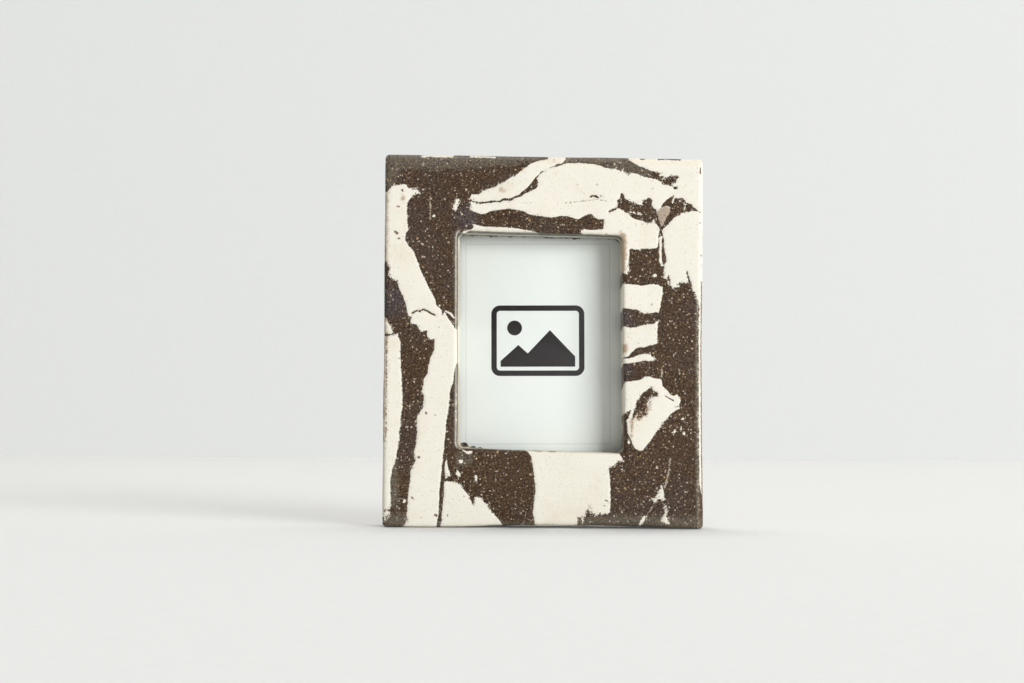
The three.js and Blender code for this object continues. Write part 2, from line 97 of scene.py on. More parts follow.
# Outlines of the clay bands on the front face, as (x, z) in millimetres. Dark clay is the ground, and
# where a band runs off the face its outline goes on past the edge.
CREAM_BANDS = {
    "left fork": [
        (-52, 103.3), (-48.1, 103.3), (-46.5, 105.1), (-43.7, 105.5), (-42.5, 105.6), (-41.7, 104.5),
        (-39.6, 104.2), (-37.4, 103.1), (-38, 102.5), (-39.3, 103), (-40.2, 102.2), (-41.5, 100.4),
        (-42, 98.8), (-42, 96.1), (-41.4, 91.7), (-42.1, 90.7), (-42.5, 88.6), (-41.7, 87.2),
        (-40.3, 85.6), (-38.9, 82.6), (-37.6, 78.9), (-35.6, 74.7), (-33.5, 70.8), (-32.8, 68.5),
        (-30.8, 66.6), (-30.9, 65.6), (-30.4, 66.6), (-29.2, 64.6), (-28.2, 62.9), (-27, 61.3),
        (-22, 59), (-22, 52), (-25.9, 51.2), (-26.8, 50.2), (-27.3, 48), (-27.6, 44.9), (-28.4, 42.8),
        (-28.8, 39.5), (-29.1, 36), (-29.7, 33.1), (-30.1, 27.8), (-30.6, 23.7), (-31.1, 19.4),
        (-31.4, 15.4), (-31.8, 11.8), (-31.9, 7.8), (-32.2, 3.9), (-32.7, 0.8), (-33, -4), (-43, -4),
        (-42.9, 0.9), (-41.6, 2.9), (-41.5, 7.8), (-41.2, 11.8), (-40.8, 14.7), (-40.4, 18.4),
        (-39.2, 20.7), (-39.6, 24), (-38.7, 26.6), (-38.6, 28.8), (-38.7, 31.3), (-38.6, 34.2),
        (-37.5, 36.2), (-36.7, 37.9), (-36.5, 40.7), (-37.2, 42.2), (-36.9, 43.8), (-36.4, 46.1),
        (-35.5, 47.5), (-35.2, 49.8), (-34.6, 52.1), (-33.5, 54.7), (-33.4, 58.3), (-34.6, 57.9),
        (-35.6, 58.7), (-35.5, 60.9), (-37.3, 60.3), (-38.3, 61.3), (-38.9, 62.5), (-40.7, 62.9),
        (-40.5, 64.8), (-41.4, 65.2), (-41.8, 67.1), (-42.4, 69.7), (-43.4, 71.8), (-44.2, 73.8),
        (-44.9, 75.9), (-45.4, 75.7), (-46.5, 76.5), (-47.4, 77.5), (-47.5, 80.4), (-48.5, 82), (-52, 82),
    ],
    "left edge sliver": [
        (-52, 64.6), (-48.4, 64.6), (-47.7, 63.6), (-46.9, 62.2), (-46.2, 60.5), (-46.1, 59.9), (-52, 59.5),
    ],
    "left edge": [
        (-52, 59), (-47.5, 59.1), (-44.7, 59.7), (-44.2, 58.5), (-43.7, 57), (-43.8, 54.7), (-43.7, 50.8),
        (-43.4, 45.9), (-43.1, 39.9), (-43.2, 37.2), (-43.6, 34), (-44.1, 27.4), (-44.7, 23.7),
        (-45.3, 20.7), (-46.3, 18.1), (-46.8, 14.7), (-46.7, 11.1), (-46.7, 6.3), (-47.1, 5), (-47.4, 3.6),
        (-48.2, 2.8), (-49, 2.4), (-52, 2.2),
    ],
    "lower left wedge": [
        (-30.4, 15.1), (-30.2, 14.7), (-28.3, 14.6), (-25.7, 14.4), (-24, 12.1), (-22.7, 10.1),
        (-21.5, 7.2), (-21, 9.8), (-19, 9.8), (-17.7, 7.8), (-15.8, 5.5), (-13.1, 2.2), (-12.4, 1.2),
        (-12, -4), (-31.5, -4), (-31.4, 1.1), (-31.2, 2.9), (-30.8, 7.2), (-30.4, 11.8),
    ],
    "sill flake": [
        (-24.9, 24.4), (-23.4, 23.9), (-21.5, 24), (-21.9, 23.3), (-22.9, 22.9), (-23.9, 23.2),
    ],
    "lower left sliver": [(-29.8, 22.3), (-29.3, 19.4), (-28.6, 16.4), (-29.9, 15.6), (-30.2, 18.1)],
    "lower middle": [
        (-5.8, 29), (-5.2, 24), (-3.9, 22.3), (-3.2, 19), (-2.7, 14.4), (-2.6, 11.8), (-3, 8.5), (-3.4, 5.2),
        (-2.9, 2.9), (-2.7, 1.1), (-2.7, -4), (10, -4), (10.2, 2), (10.4, 3.8), (11.6, 3.9), (11.9, 2),
        (12.4, 4.1), (13, 5.8), (13.5, 7.2), (14.5, 5.2), (15.9, 5), (17.2, 4.5), (18.8, 4.9), (19.6, 4.2),
        (20.1, 5.8), (20.3, 7.8), (20.3, 11.8), (20.2, 15.1), (19.8, 18.7), (21.8, 19.4), (22.8, 20.7),
        (24.3, 21), (23.1, 22.8), (22.4, 25), (22, 29),
    ],
    "lower right flake": [
        (35.7, 13.4), (36.6, 11.8), (37, 9.1), (35, 9.1), (33.4, 8.5), (33, 9.1), (34.7, 10.8),
    ],
    "lower right streak": [
        (36.5, 7.8), (36.8, 5.2), (35.8, 2.9), (36.6, 1.9), (38.6, 1.5), (37.3, 4.5), (37, 7.7),
    ],
    "right leaf": [
        (21, 42), (24, 44), (24.9, 44.9), (26.6, 45.1), (28, 45.4), (29.3, 45.5), (30.3, 46.1), (30.9, 46.7),
        (32.2, 46.5), (33.8, 46.1), (35.3, 45.9), (36.1, 45.5), (36.1, 43.8), (36.8, 43.2), (37.7, 42.2),
        (38.7, 41.1), (39.6, 40.7), (40.8, 41.2), (41.2, 40.3), (41.8, 39.3), (41.4, 38.1), (41.4, 36.8),
        (40.6, 36.6), (39, 35.4), (37.7, 34), (36.5, 32.3), (35.3, 30.8), (33.8, 29), (32.6, 27),
        (31.6, 25.9), (30.3, 24.2), (29.1, 24), (27.8, 24.7), (26.9, 26.4), (26, 28.6), (25.4, 30.4),
        (25.3, 33.3), (25.8, 34), (26.4, 36.2), (24.3, 35.2), (21, 34.6),
    ],
    "right rib lowest": [
        (20, 52), (26, 52.1), (28, 52.7), (29, 53.3), (31.1, 53.5), (32.5, 53.4), (34.1, 52), (33.4, 51.4),
        (30.3, 51.4), (28, 50.9), (26.8, 50.6), (20, 50.7),
    ],
    "right rib middle": [
        (20, 62.1), (23.9, 62.1), (26.4, 61.5), (28, 61.6), (29.6, 62.1), (31.9, 62.5), (33.9, 62.9),
        (35.2, 64), (34.8, 62.2), (34.7, 59.3), (34.5, 56.6), (32.7, 56.2), (30.9, 55.6), (28.6, 55.4),
        (27.5, 54.7), (26.4, 53.5), (25.7, 52.5), (20, 52.5),
    ],
    "right rib upper": [
        (20, 75.1), (25.9, 74.9), (28, 74.7), (30, 74.4), (32, 74.6), (33.5, 75), (35.1, 74.6), (36.5, 73.9),
        (36.4, 71.6), (35.8, 68.7), (35.3, 66.3), (32.7, 66), (31.1, 65.8), (29.8, 66.3), (28.8, 66.9),
        (26.5, 67.3), (20, 68.1),
    ],
    "upper right mass": [
        (-22.9, 101.3), (-22.1, 102.5), (-19.6, 102.5), (-18.8, 103.3), (-16.8, 104.1), (-14.7, 105.1),
        (-12, 106.4), (-10.6, 107.4), (-8.1, 108.6), (-7.1, 109.6), (-5.3, 110.8), (-3.9, 112.1),
        (-1.2, 113.1), (1.3, 113.8), (4, 120), (56, 120), (56, 68), (48.3, 68), (46.9, 70.4), (46.2, 72),
        (45.6, 73.4), (44.8, 75.2), (43.4, 75.1), (42.3, 75.7), (41.5, 74.9), (41.1, 73.9), (39.9, 73.5),
        (38.8, 74.1), (38, 76.1), (36.8, 76.9), (36.7, 78.9), (37, 80.4), (37.7, 82), (37.5, 83.3),
        (37, 85.3), (36.9, 86.4), (36.4, 89.1), (36.1, 91.4), (35.9, 91.4), (35.2, 89.8), (35.1, 87.1),
        (34.9, 86.1), (33.6, 85.8), (30.9, 85.8), (28.6, 85.4), (26.6, 85.8), (26.3, 85.3), (26.1, 82.4),
        (25.8, 77.6), (23.9, 79), (20, 80), (20, 84), (12, 84), (11.6, 91), (12.2, 91.7), (14.4, 91.5),
        (18.3, 91.7), (18.6, 94.9), (17.1, 94.7), (15.7, 95.4), (14.8, 96.4), (13.4, 96.2), (11.6, 95.4),
        (10.8, 94.7), (8.9, 95.3), (6.9, 95.8), (5, 95.8), (2.7, 95.4), (-0.4, 95.8), (-2.8, 96),
        (-4.5, 96.4), (-6.1, 97.2), (-8.1, 97.7), (-10.8, 98), (-13.9, 97.7), (-15.9, 97.4), (-17.4, 96.8),
        (-19, 96.4), (-20.5, 96.8), (-21.9, 97.5), (-22.6, 98.6), (-22.8, 99.8),
    ],
    "over the window": [
        (-26, 90.4), (-24.3, 91.1), (-22.4, 91.6), (-21.5, 92.2), (-21.7, 93.4), (-19.2, 92.7),
        (-16.2, 92.4), (-12, 92.4), (-8.1, 92), (-5.1, 91.4), (-2.6, 90.9), (-0.6, 90.2), (0, 84), (-26, 84),
    ],
}

DARK_OVER_CREAM = {
    "top stripe": [
        (5, 111.5), (6.8, 113.5), (6.8, 120), (26.5, 120), (26.3, 113.3), (29.2, 111.3), (32.4, 110),
        (35.6, 109), (36.9, 107.4), (38.6, 108.1), (41.6, 108), (41.1, 106.8), (39, 105.3), (36.9, 105.3),
        (34.9, 106.9), (33.3, 107.4), (31.2, 107.8), (28.4, 108.8), (26.7, 109.2), (26.1, 108.6),
        (25.3, 109.3), (21.8, 110.3), (19.1, 110.7), (15.9, 111.8), (10.9, 112.3), (7.4, 112.3),
    ],
    "crown": [
        (22, 98), (22.7, 99.4), (22.6, 100.7), (23.5, 101.1), (23.5, 102.5), (24, 103), (24.7, 102.3),
        (25.1, 100.9), (26.1, 100.4), (27.1, 99.8), (28.4, 99.9), (29.4, 99), (30.2, 99.4), (30.8, 100.5),
        (31.5, 101.3), (32.5, 101.5), (33.3, 100.7), (33.2, 99.2), (33.9, 97.8), (34.5, 96), (35, 94.2),
        (35.7, 92.4), (36, 91.1), (35.4, 92.1), (33.7, 94.9), (33.1, 93.7), (32.1, 93.7), (30.5, 94.2),
        (28.8, 94.7), (27.1, 95.4), (26.1, 96.6), (24.5, 97.4), (23.1, 98),
    ],
    "bow": [
        (36.5, 99.7), (37.3, 100.4), (38.6, 101.4), (39.9, 102.4), (40.2, 101.3), (41.6, 101.3),
        (42.5, 101.4), (44, 100.1), (45.3, 99.5), (46.3, 98.4), (48.4, 97), (46.2, 97.4), (43.9, 97.1),
        (41.9, 96.3), (40.6, 95.8), (39.2, 94.4), (37.6, 92.8), (36.6, 91.4), (36, 91.7), (36.8, 93.1),
        (38.2, 94.7), (39.1, 96.7), (39.2, 98.5), (37.6, 99), (35.8, 98.1),
    ],
    "wedge": [
        (-7.9, 101.7), (-7.1, 102.9), (-5.3, 104.3), (-4.1, 105.7), (-3.2, 106.8), (-2.2, 108), (-0.6, 109.6),
        (0.6, 110), (-1, 108.8), (-2.1, 107.4), (-1.7, 106.2), (-2, 104.5), (-3.5, 103.7), (-5.3, 102.9),
        (-7.3, 101.7),
    ],
    "leaf smear": [
        (33, 43.6), (33.6, 42.2), (35, 41.6), (34.8, 40.7), (33.6, 40.8), (32.4, 39.9), (31.8, 38.5),
        (31.8, 37.2), (30.6, 36), (29.8, 36.3), (29, 35.1), (28.2, 35.3), (27.6, 33.9), (26.8, 32.9),
        (27.2, 35.2), (28, 37.7), (28.7, 39.5), (30.3, 41.6), (31.5, 42.4),
    ],
}

# Hairlines, as (half width, points), in millimetres on the front face.
DARK_STROKES = [
    (0.28, [(-40.3, 66), (-38.7, 66.8)]),
    (0.3, [(-38, 66.5), (-36.8, 67.2), (-35.6, 66.6), (-34.6, 66), (-33.5, 65.5)]),
    (0.3, [
        (-22.9, 100.6), (-21.7, 100.4), (-19.6, 99.8), (-17.4, 100), (-15.5, 100.3), (-13.5, 100.3),
        (-12.2, 100.9), (-10, 100.9), (-9, 101.5), (-7.7, 102),
    ]),
    (0.3, [(2.1, 110.8), (5, 111.8)]),
    (0.28, [(43.9, 78.5), (45, 74.7)]),
    (0.26, [(38, 77), (38.6, 75.8)]),
    (0.14, [(37, 40.8), (38.3, 39.9), (39.5, 39.3)]),
    (0.16, [(39.8, 37.2), (41.5, 37.7)]),
    (0.35, [(30.4, 34.9), (31.3, 35.1)]),
    (0.24, [(29.9, 34.7), (29, 33.3)]),
    (0.17, [(32.5, 39), (31.6, 36.6), (30.7, 34.7)]),
    (0.2, [(31.4, 37.6), (30.6, 35.9), (29.5, 34.3)]),
    (0.2, [(30.2, 36.6), (29.5, 35.3), (28.6, 33.9)]),
    (0.3, [(-46.6, 5.9), (-48.4, 5.7)]),
    (0.5, [(-47.7, 4.4), (-47.9, 3.3)]),
    (0.42, [(-49.3, 3.4), (-48.9, 2.6)]),
    (0.5, [(-49.2, 1.5), (-47.8, 1.2)]),
    (0.4, [(-47.8, 2.2), (-47.2, 1.6)]),
    (0.45, [(40.3, 104.5), (40.5, 104.5)]),
    (0.35, [(20.2, 97.2), (22.4, 98.2)]),
    (0.3, [(1.6, 24), (3.5, 24)]),
    (0.25, [(-2.7, 24.3), (-0.7, 24.2)]),
    (0.2, [(-31, 68.5), (-31, 65.5)]),
    (0.3, [(34.8, 94.8), (35.9, 91.6), (35.5, 89.2)]),
    (0.26, [(35.9, 91.6), (36.5, 89), (36.8, 86)]),
    (0.4, [(34.2, 97.6), (34.8, 94.9), (35.9, 92.4)]),
    (0.4, [(39.3, 98.6), (38.9, 96.4), (37.5, 94), (36.3, 92.2)]),
    (0.28, [(14.3, 101.7), (15.1, 102)]),
    (0.34, [(15.8, 101.9), (16.6, 101.6)]),
    (0.2, [(17.4, 102), (17.6, 101.9)]),
    (0.35, [(30, 113.9), (31, 113.9)]),
    (0.4, [(35.5, 113.7), (38, 113.9), (42, 113.6)]),
    (0.4, [(48.7, 110.5), (48.7, 109)]),
]
CREAM_STROKES = [
    (0.3, [(-37.4, 114.4), (-35, 114.6), (-31, 114.5), (-28, 114.4)]),
    (0.2, [(-22.3, 114.3), (-18, 114.3), (-15, 114.1)]),
    (0.45, [(30.7, 3.9), (29.3, 1.5)]),
    (0.6, [(-26.4, 100.4), (-26.4, 99.6)]),
    (0.7, [(-27, 98.8), (-27, 98)]),
    (0.3, [(26.7, 97.1), (30, 96.4)]),
    (0.14, [(40.2, 102.1), (39.6, 99.9)]),
    (0.35, [(35.9, 89.3), (35.8, 85.3), (35.8, 82), (36.3, 80.8)]),
    (0.55, [(-25.4, 20.7), (-25.2, 20.7)]),
    (0.6, [(-26.2, 17.2), (-25.8, 16.8)]),
    (0.3, [(-20.7, 16.3), (-20.7, 15.1)]),
    (0.34, [(-42.6, 8.5), (-42.4, 8.9)]),
    (0.26, [(-44.2, 8.7), (-44.1, 8.7)]),
    (0.28, [(25.9, 26.9), (26, 26.3)]),
    (0.25, [(-30, 66.6), (-28.4, 65.8), (-27.4, 64.6)]),
    (0.1, [(41.2, 100.6), (42.3, 100.1)]),
    (0.1, [(43.5, 99.3), (43.1, 97.9)]),
    (0.3, [(42.3, 33.6), (42.5, 33.7)]),
    (0.4, [(42.7, 29.2), (42.9, 29.2)]),
    (0.25, [(41.8, 30.6), (41.9, 31.2)]),
    (0.28, [(39.7, 29.8), (39.9, 29.9)]),
    (0.35, [(-33.8, 95.8), (-33.6, 95.8)]),
    (0.4, [(33.8, 77.5), (34.3, 77.7)]),
]

# Outline of the patch of grey slip on the front face, in millimetres.
GREY_PATCH = [
    (34.2, 96.6), (35.4, 98.2), (37.6, 99), (39.4, 98.6), (39.3, 96.4), (38.1, 94.2), (36.2, 92.6),
    (34.9, 94.4),
]

# Small marks on the front face, as (half width, points) in millimetres.
BROWN_MARKS = [
    (0.4, [(-43.4, 103.9), (-43.2, 103.4)]),
    (0.35, [(-44.7, 98.7), (-44.4, 98.7)]),
    (0.5, [(-45.4, 91), (-44.9, 90.5)]),
    (0.35, [(-44.6, 88.9), (-44.2, 88.9)]),
    (0.4, [(-36, 35.6), (-35.8, 35.3)]),
    (0.45, [(-38.3, 22), (-37.9, 22)]),
    (0.35, [(-40.2, 9.9), (-39.8, 9.5)]),
    (0.45, [(-33, 4.5), (-32.6, 4.3)]),
    (0.3, [(18.7, 8.9), (19.5, 8.7)]),
    (0.3, [(18.2, 7.2), (18.5, 7.2)]),
    (0.3, [(48.2, 97), (48.5, 97)]),
    (0.3, [(48.2, 93.8), (48.5, 93.8)]),
    (0.17, [(6, 99.7), (9, 100.1), (12.6, 100.4), (16, 101), (19.4, 100.4)]),
    (0.4, [(48.5, 110.6), (48.5, 109)]),
    (0.14, [(27.4, 33.7), (26.9, 31.8), (26.8, 29.9), (26.4, 28)]),
    (0.12, [(28.6, 33.4), (28.5, 31.7)]),
    (0.16, [(32.3, 38.5), (32.8, 36.3)]),
    (0.35, [(-48.3, 81.5), (-48, 77.5)]),
    (0.16, [(-7, 99.8), (-5.7, 99.9), (-3.9, 99.9)]),
]
PALE_MARKS = [
    (0.22, [(-34.9, 102.6), (-34.7, 98.5), (-34.8, 95)]),
    (0.24, [(36.1, 48.9), (36, 46.5)]),
    (0.24, [(38.5, 21.6), (38.3, 19.5), (37.9, 17), (37.2, 14), (36.6, 12.4)]),
    (0.1, [(34.3, 9), (32.6, 6.3), (31.2, 4.2)]),
]

# Outlines of tan marks on the cream clay, in millimetres on the front face: mostly dark slip dragged over it,
# and at the window's top-right corner a painted shade of the lip.
SMEARS = [
    [(-13.9, 104.4), (-12.4, 104.9), (-11.5, 103.8), (-12.3, 102.9), (-13.8, 103.1)],
    [(-43.7, 102.6), (-42.7, 102.9), (-42.5, 101.4), (-42.9, 99.8), (-43.6, 100)],
    # Painted shade: the lip at the window's top-right corner, which lies in shade.
    [(23.3, 91.3), (25.3, 90.5), (25.6, 84), (24.9, 79), (23.3, 78)],
    [(23.4, 57), (25.4, 56.6), (26.2, 54.6), (25, 53.4), (23.4, 53.6)],
    [(26.3, 34.4), (27.4, 33.9), (27.3, 31), (27.1, 28), (26.5, 27.8), (26.3, 31)],
    [(28.6, 36.6), (31.6, 38), (32.4, 36.6), (30.6, 34), (27.8, 32.8), (27.6, 34.6)],
]

# Zones of the front face where the dark clay gets a greyish painted sheen: along the top and the base, by the
# left side, and along the window's left edge and lower-left corner.
OLIVE_ZONES = [
    [
        (-52, 120), (-52, 104), (-46.5, 104.5), (-44.6, 108), (-43.4, 110.3), (-30, 110.3), (-20, 110.5),
        (-8, 111.7), (2, 114.4), (8, 120),
    ],
    [
        (-52, 5.4), (-42, 5), (-36, 2.8), (-10, 2.2), (24, 4.6), (40, 4), (52, 4), (52, -4), (-52, -4),
    ],
    [(-48.5, 28), (-45, 28), (-44.5, 16), (-44.3, 7), (-48.5, 6)],
    [(2, 110.8), (8, 112), (20, 110), (27, 108.3), (33, 107), (33, 112), (26, 116), (4, 120)],
    [(-27.4, 88), (-26, 90), (-24, 90), (-24, 62), (-26.4, 62)],
    [(-26.3, 44), (-24, 44), (-24, 25), (-27, 26)],
    [(-27, 23.6), (-21.2, 22.4), (-22, 20), (-26.8, 18.6)],
]

# Places where the band edges are torn most, as (x, z, radius) in millimetres.
RAGGED_SPOTS = [
    (37.6, 107, 5), (24, 110, 4), (46, 73, 6), (41, 76, 5), (-25, 14, 6), (-17, 8, 5), (42, 98, 3.5),
    (-46, 4, 6), (31, 39, 6), (35, 8, 7), (15, 6, 6), (-45, 62, 4), (37, 31, 5), (22, 21, 4),
    (-39, 104, 4), (-46, 79, 5), (28, 99, 5), (-36, 20, 4), (-24, 99, 4), (24, 79, 4), (34, 54, 3),
]

# Places where the dark clay is cooler, as (x, z, radius) in millimetres.
COOL_SPOTS = [
    (-46, 70, 7), (-23.5, 95.8, 5), (24.5, 64.5, 4), (24.5, 48.5, 4),
]

# How far the right side is hollowed, as (z, hollow) in millimetres.
RIGHT_HOLLOW = [(0, 0), (10, 0.06), (22, 0.3), (36, 0.5), (55, 0.58), (75, 0.52), (95, 0.38), (115, 0.27)]

# Crumbs of clay in the left corners of the window, as (x, depth, z, radius), and how far the look of the
# dark ones reaches beyond them, in millimetres.
PALE_CRUMBS = [(-24.7, 1.5, 90.5, 1.2), (-23.3, 1.6, 91.2, 0.9)]
# The dark crumbs get painted shade, as a shadowed hole in the window's lower-left corner.
DARK_CRUMBS = [(-24.1, 6.3, 24.8, 1.3), (-21.5, 6.5, 24.2, 0.9), (-19.3, 6.6, 23.95, 0.7)]
CRUMB_BLEND = 0.4

# How wide the cream strip along the right side is, as (z, width) in millimetres.
RIGHT_STRIP = [(6, -0.1), (14, 1.3)]

# Lines along the sides, as (distance from the side, half width), and their reach in z, in millimetres.
RIGHT_WEAR = (0.4, 0.34)
RIGHT_WEAR_TOP = 76
# A pale line along the right side.
RIGHT_PALE_LINE = (1.75, 0.2)
# Painted sheen along the right side.
RIGHT_SHEEN = (1.9, 0.65)
LEFT_WEAR = (1.2, 0.26)
LEFT_WEAR_LOW = 28
LEFT_WEAR_TOP = 60
# From this height up the left edge takes slip colour near its rim: wear, and painted shade where the edge
# turns away from the key light.
LEFT_RUB_AND_SHADE_LOW = 26

# Marks on the walls of the window, as (depth behind the front face in millimetres, width, strength). The top
# shade and the left hollow are painted shade, the top tear also gets painted shade, and the marks on the
# arrises are painted highlights.
LEFT_SMEAR = (1.8, 0.8, 1)
RIGHT_SMEAR = (0.6, 0.8, 0.25)
SILL_SMEAR = (1, 1.5, 0.8)
TOP_SHADE = (0.5, 0.5, 1)
TOP_TEAR = (6.6, 0.8, 1)
LEFT_HOLLOW_SHADE = (1.8, 1.3, 1)
LEFT_ARRIS_HIGHLIGHT = (0.3, 0.3, 1)
TOP_ARRIS_HIGHLIGHT = (5.5, 1, 1.4)

# How bands sway on their way back, as waves of (share of the depth, stretch in millimetres, shift).
SWAY_ACROSS = [(0.22, 13, 0), (0.12, 5, 1)]
SWAY_UP = [(0.3, 15, 0.6), (0.1, 4, 0)]
SWAY_START = 1.2

# Where the underside sags, as (start, width) in millimetres: up from the floor and back from the front.
SAG_UP = (0.8, 1.2)
SAG_BACK = (3, 4)

# Distances from an edge at which depths stop counting, and at which the mesh is halved, in millimetres.
FAR_FROM_BAND = 6.0
FAR_FROM_MARK = 2.0
FINE_BY_BAND = 0.8
FINE_BY_MARK = 0.6

# How far the outlines are lifted to meet the edges of the CAD model, in millimetres.
OUTLINE_LIFT = 0.45

# Grains in the clays, as (size in metres, share of the cells that hold one).
LOOSE_CRUMBS = (0.45 * MM, 0.3)
TAN_SPECKS = (0.4 * MM, 0.07)
RUST_SPECKS = (0.6 * MM, 0.008)
PITS = (0.8 * MM, 0.08)
SMALL_GROG = (0.36 * MM, 0.2)
LARGE_GROG = (0.8 * MM, 0.045)
GOLD_GROG = (0.5 * MM, 0.018)

# A quarter turn about X, which stands a plane up and lays a cylinder along Y.
QUARTER_TURN = (math.pi / 2, 0, 0)

# Edges over the first angle are rounded or stay sharp, and edges under the second are taken out.
SHARP_ANGLE = math.radians(35)
FLAT_ANGLE = math.radians(0.5)

# Vertices closer than the first gap are joined, and those closer to an end than the second count as its own.
MERGE_GAP = 0.001 * MM
END_GAP = 0.01 * MM


def srgb(red, green, blue):
    """A colour as it looks on screen, each part from 0 to 255, as the linear colour that shaders take."""
    shares = [level / 255 for level in (red, green, blue)]
    return tuple(s / 12.92 if s <= 0.04045 else ((s + 0.055) / 1.055) ** 2.4 for s in shares)


def length(name, description, size):
    """A setting that is a length, in metres."""
    return FloatProperty(name=name, description=description, default=size, unit="LENGTH", precision=5)


def turn(name, description, degrees):
    """A setting that is an angle."""
    return FloatProperty(name=name, description=description, default=math.radians(degrees), subtype="ANGLE")


def share(name, description, value):
    """A setting that is a plain number."""
    return FloatProperty(name=name, description=description, default=value)


def tone(name, description, colour):
    """A setting that is a colour."""
    return FloatVectorProperty(
        name=name, description=description, default=colour, size=3, subtype="COLOR", min=0, max=1
    )


class ClaySettings(bpy.types.PropertyGroup):
    """Mesh and colours of the clay body."""

    mesh_step: length("Mesh step", "Spacing of the body's mesh", 0.52 * MM)
    lump_height: length("Lump height", "Depth of the hollows that hands leave in the slab", 0.22 * MM)
    lump_width: length("Lump width", "Width of those hollows", 14 * MM)
    nick_depth: length("Nick depth", "Depth of the nicks along the edges", 0.3 * MM)
    nick_width: length("Nick width", "Width of those nicks", 3.2 * MM)
    seam_depth: length("Seam depth", "Depth of the seam between the two clays", 0.07 * MM)
    seam_width: length("Seam width", "Width of that seam to each side", 0.6 * MM)
    crumb_depth: length("Crumb depth", "Depth of the rough skin on crumbs in the window", 0.35 * MM)
    crumb_width: length("Crumb width", "Width of that roughness", 0.9 * MM)
    tear_depth: length("Tear depth", "Depth of the tears in the window's top wall", 0.6 * MM)
    tear_width: length("Tear width", "Width of those tears", 1.2 * MM)
    hollow_width: length("Hollow width", "How far in the hollow of the right side reaches", 9 * MM)
    sag: share("Sag", "Share of the height under the base that the clay sags by, behind the front", 0.65)
    plain_back: length("Plain back", "Depth at the back, pads included, that isn't worked by hand", 6 * MM)
    plain_fade: length("Plain fade", "Depth over which the working by hand fades out", 2 * MM)
    fine_depth: length("Fine depth", "How far back from the front the mesh stays fine", 7 * MM)
    back_share: share("Back share", "Share of the mesh that is kept on the back half", 0.2)
    # Also painted as highlights on the arrises of the window's walls.
    cream: tone("Cream clay", "Body colour of the pale clay", srgb(244, 241, 229))
    # Also painted as shade on the cream's upward faces.
    cream_stain: tone("Cream stain", "Warm stains in the pale clay", srgb(230, 217, 193))
    dark: tone("Dark clay", "Body colour of the dark clay", srgb(67, 47, 29))
    dark_cool: tone("Cool dark clay", "Greyer patches of the dark clay", srgb(70, 63, 66))
    grit: tone("Grit", "Lighter grains all through the dark clay", srgb(142, 119, 88))
    # Also painted as shade in the hollow behind the window's left lip, along its top tear and on the dark
    # crumbs.
    pit: tone("Pits", "Small dark pits in the dark clay", srgb(18, 12, 8))
    # Painted sheen: this greyish colour is painted on parts of the dark clay and on its upward faces.
    skin: tone("Skin", "Olive-grey skin on parts of the dark clay", srgb(112, 106, 93))
    # Painted shade: the window's top wall faces down and lies in shade.
    top_wall_shade: tone("Top wall", "Wall of the window under its top edge", srgb(100, 100, 90))
    cut_face: tone("Cut face", "Both clays smeared together where the window was cut", srgb(218, 208, 188))
    grog: tone("Pale grog", "Pale grains in the dark clay", srgb(236, 224, 202))
    gold_grog: tone("Golden grog", "Golden grains in the dark clay", srgb(206, 170, 118))
    rust: tone("Rust specks", "Brown specks in the pale clay", srgb(104, 70, 46))
    # Also painted as shade on the lip at the window's top-right corner and along the left edge.
    smear_and_shade: tone("Smear", "Dark slip dragged over the pale clay", srgb(184, 156, 126))
    grey_slip: tone("Grey slip", "Colour of the grey patch", srgb(174, 155, 134))


class PrintSettings(bpy.types.PropertyGroup):
    """Card, border line and picture sign of the print."""

    card_edge: length("Card edge", "Softening of the card's edges", 0.08 * MM)
    tilt: turn("Tilt", "How far the print lies turned in its pocket", 0.45)
    picture_width: length("Picture width", "Width inside the border line", 44.8 * MM)
    picture_height: length("Picture height", "Height inside the border line", 62.3 * MM)
    picture_lift: length("Picture lift", "Middle of the picture above the middle of the card", 5 * MM)
    picture_shift: length("Picture shift", "Middle of the picture beside the middle of the card", -0.7 * MM)
    line_width: length("Line width", "Width of the border line", 0.3 * MM)
    sign_width: length("Sign width", "Width of the picture sign", 29 * MM)
    sign_height: length("Sign height", "Height of the picture sign", 22 * MM)
    sign_lift: length("Sign lift", "Middle of the sign above the middle of the picture", 1 * MM)
    sign_stroke: length("Sign stroke", "Width of the sign's frame", 1.7 * MM)
    card: tone("Card", "Colour of the card", srgb(244, 250, 247))
    line: tone("Line", "Colour of the border line", srgb(212, 219, 217))
    ink: tone("Ink", "Colour of the picture sign", srgb(27, 21, 22))


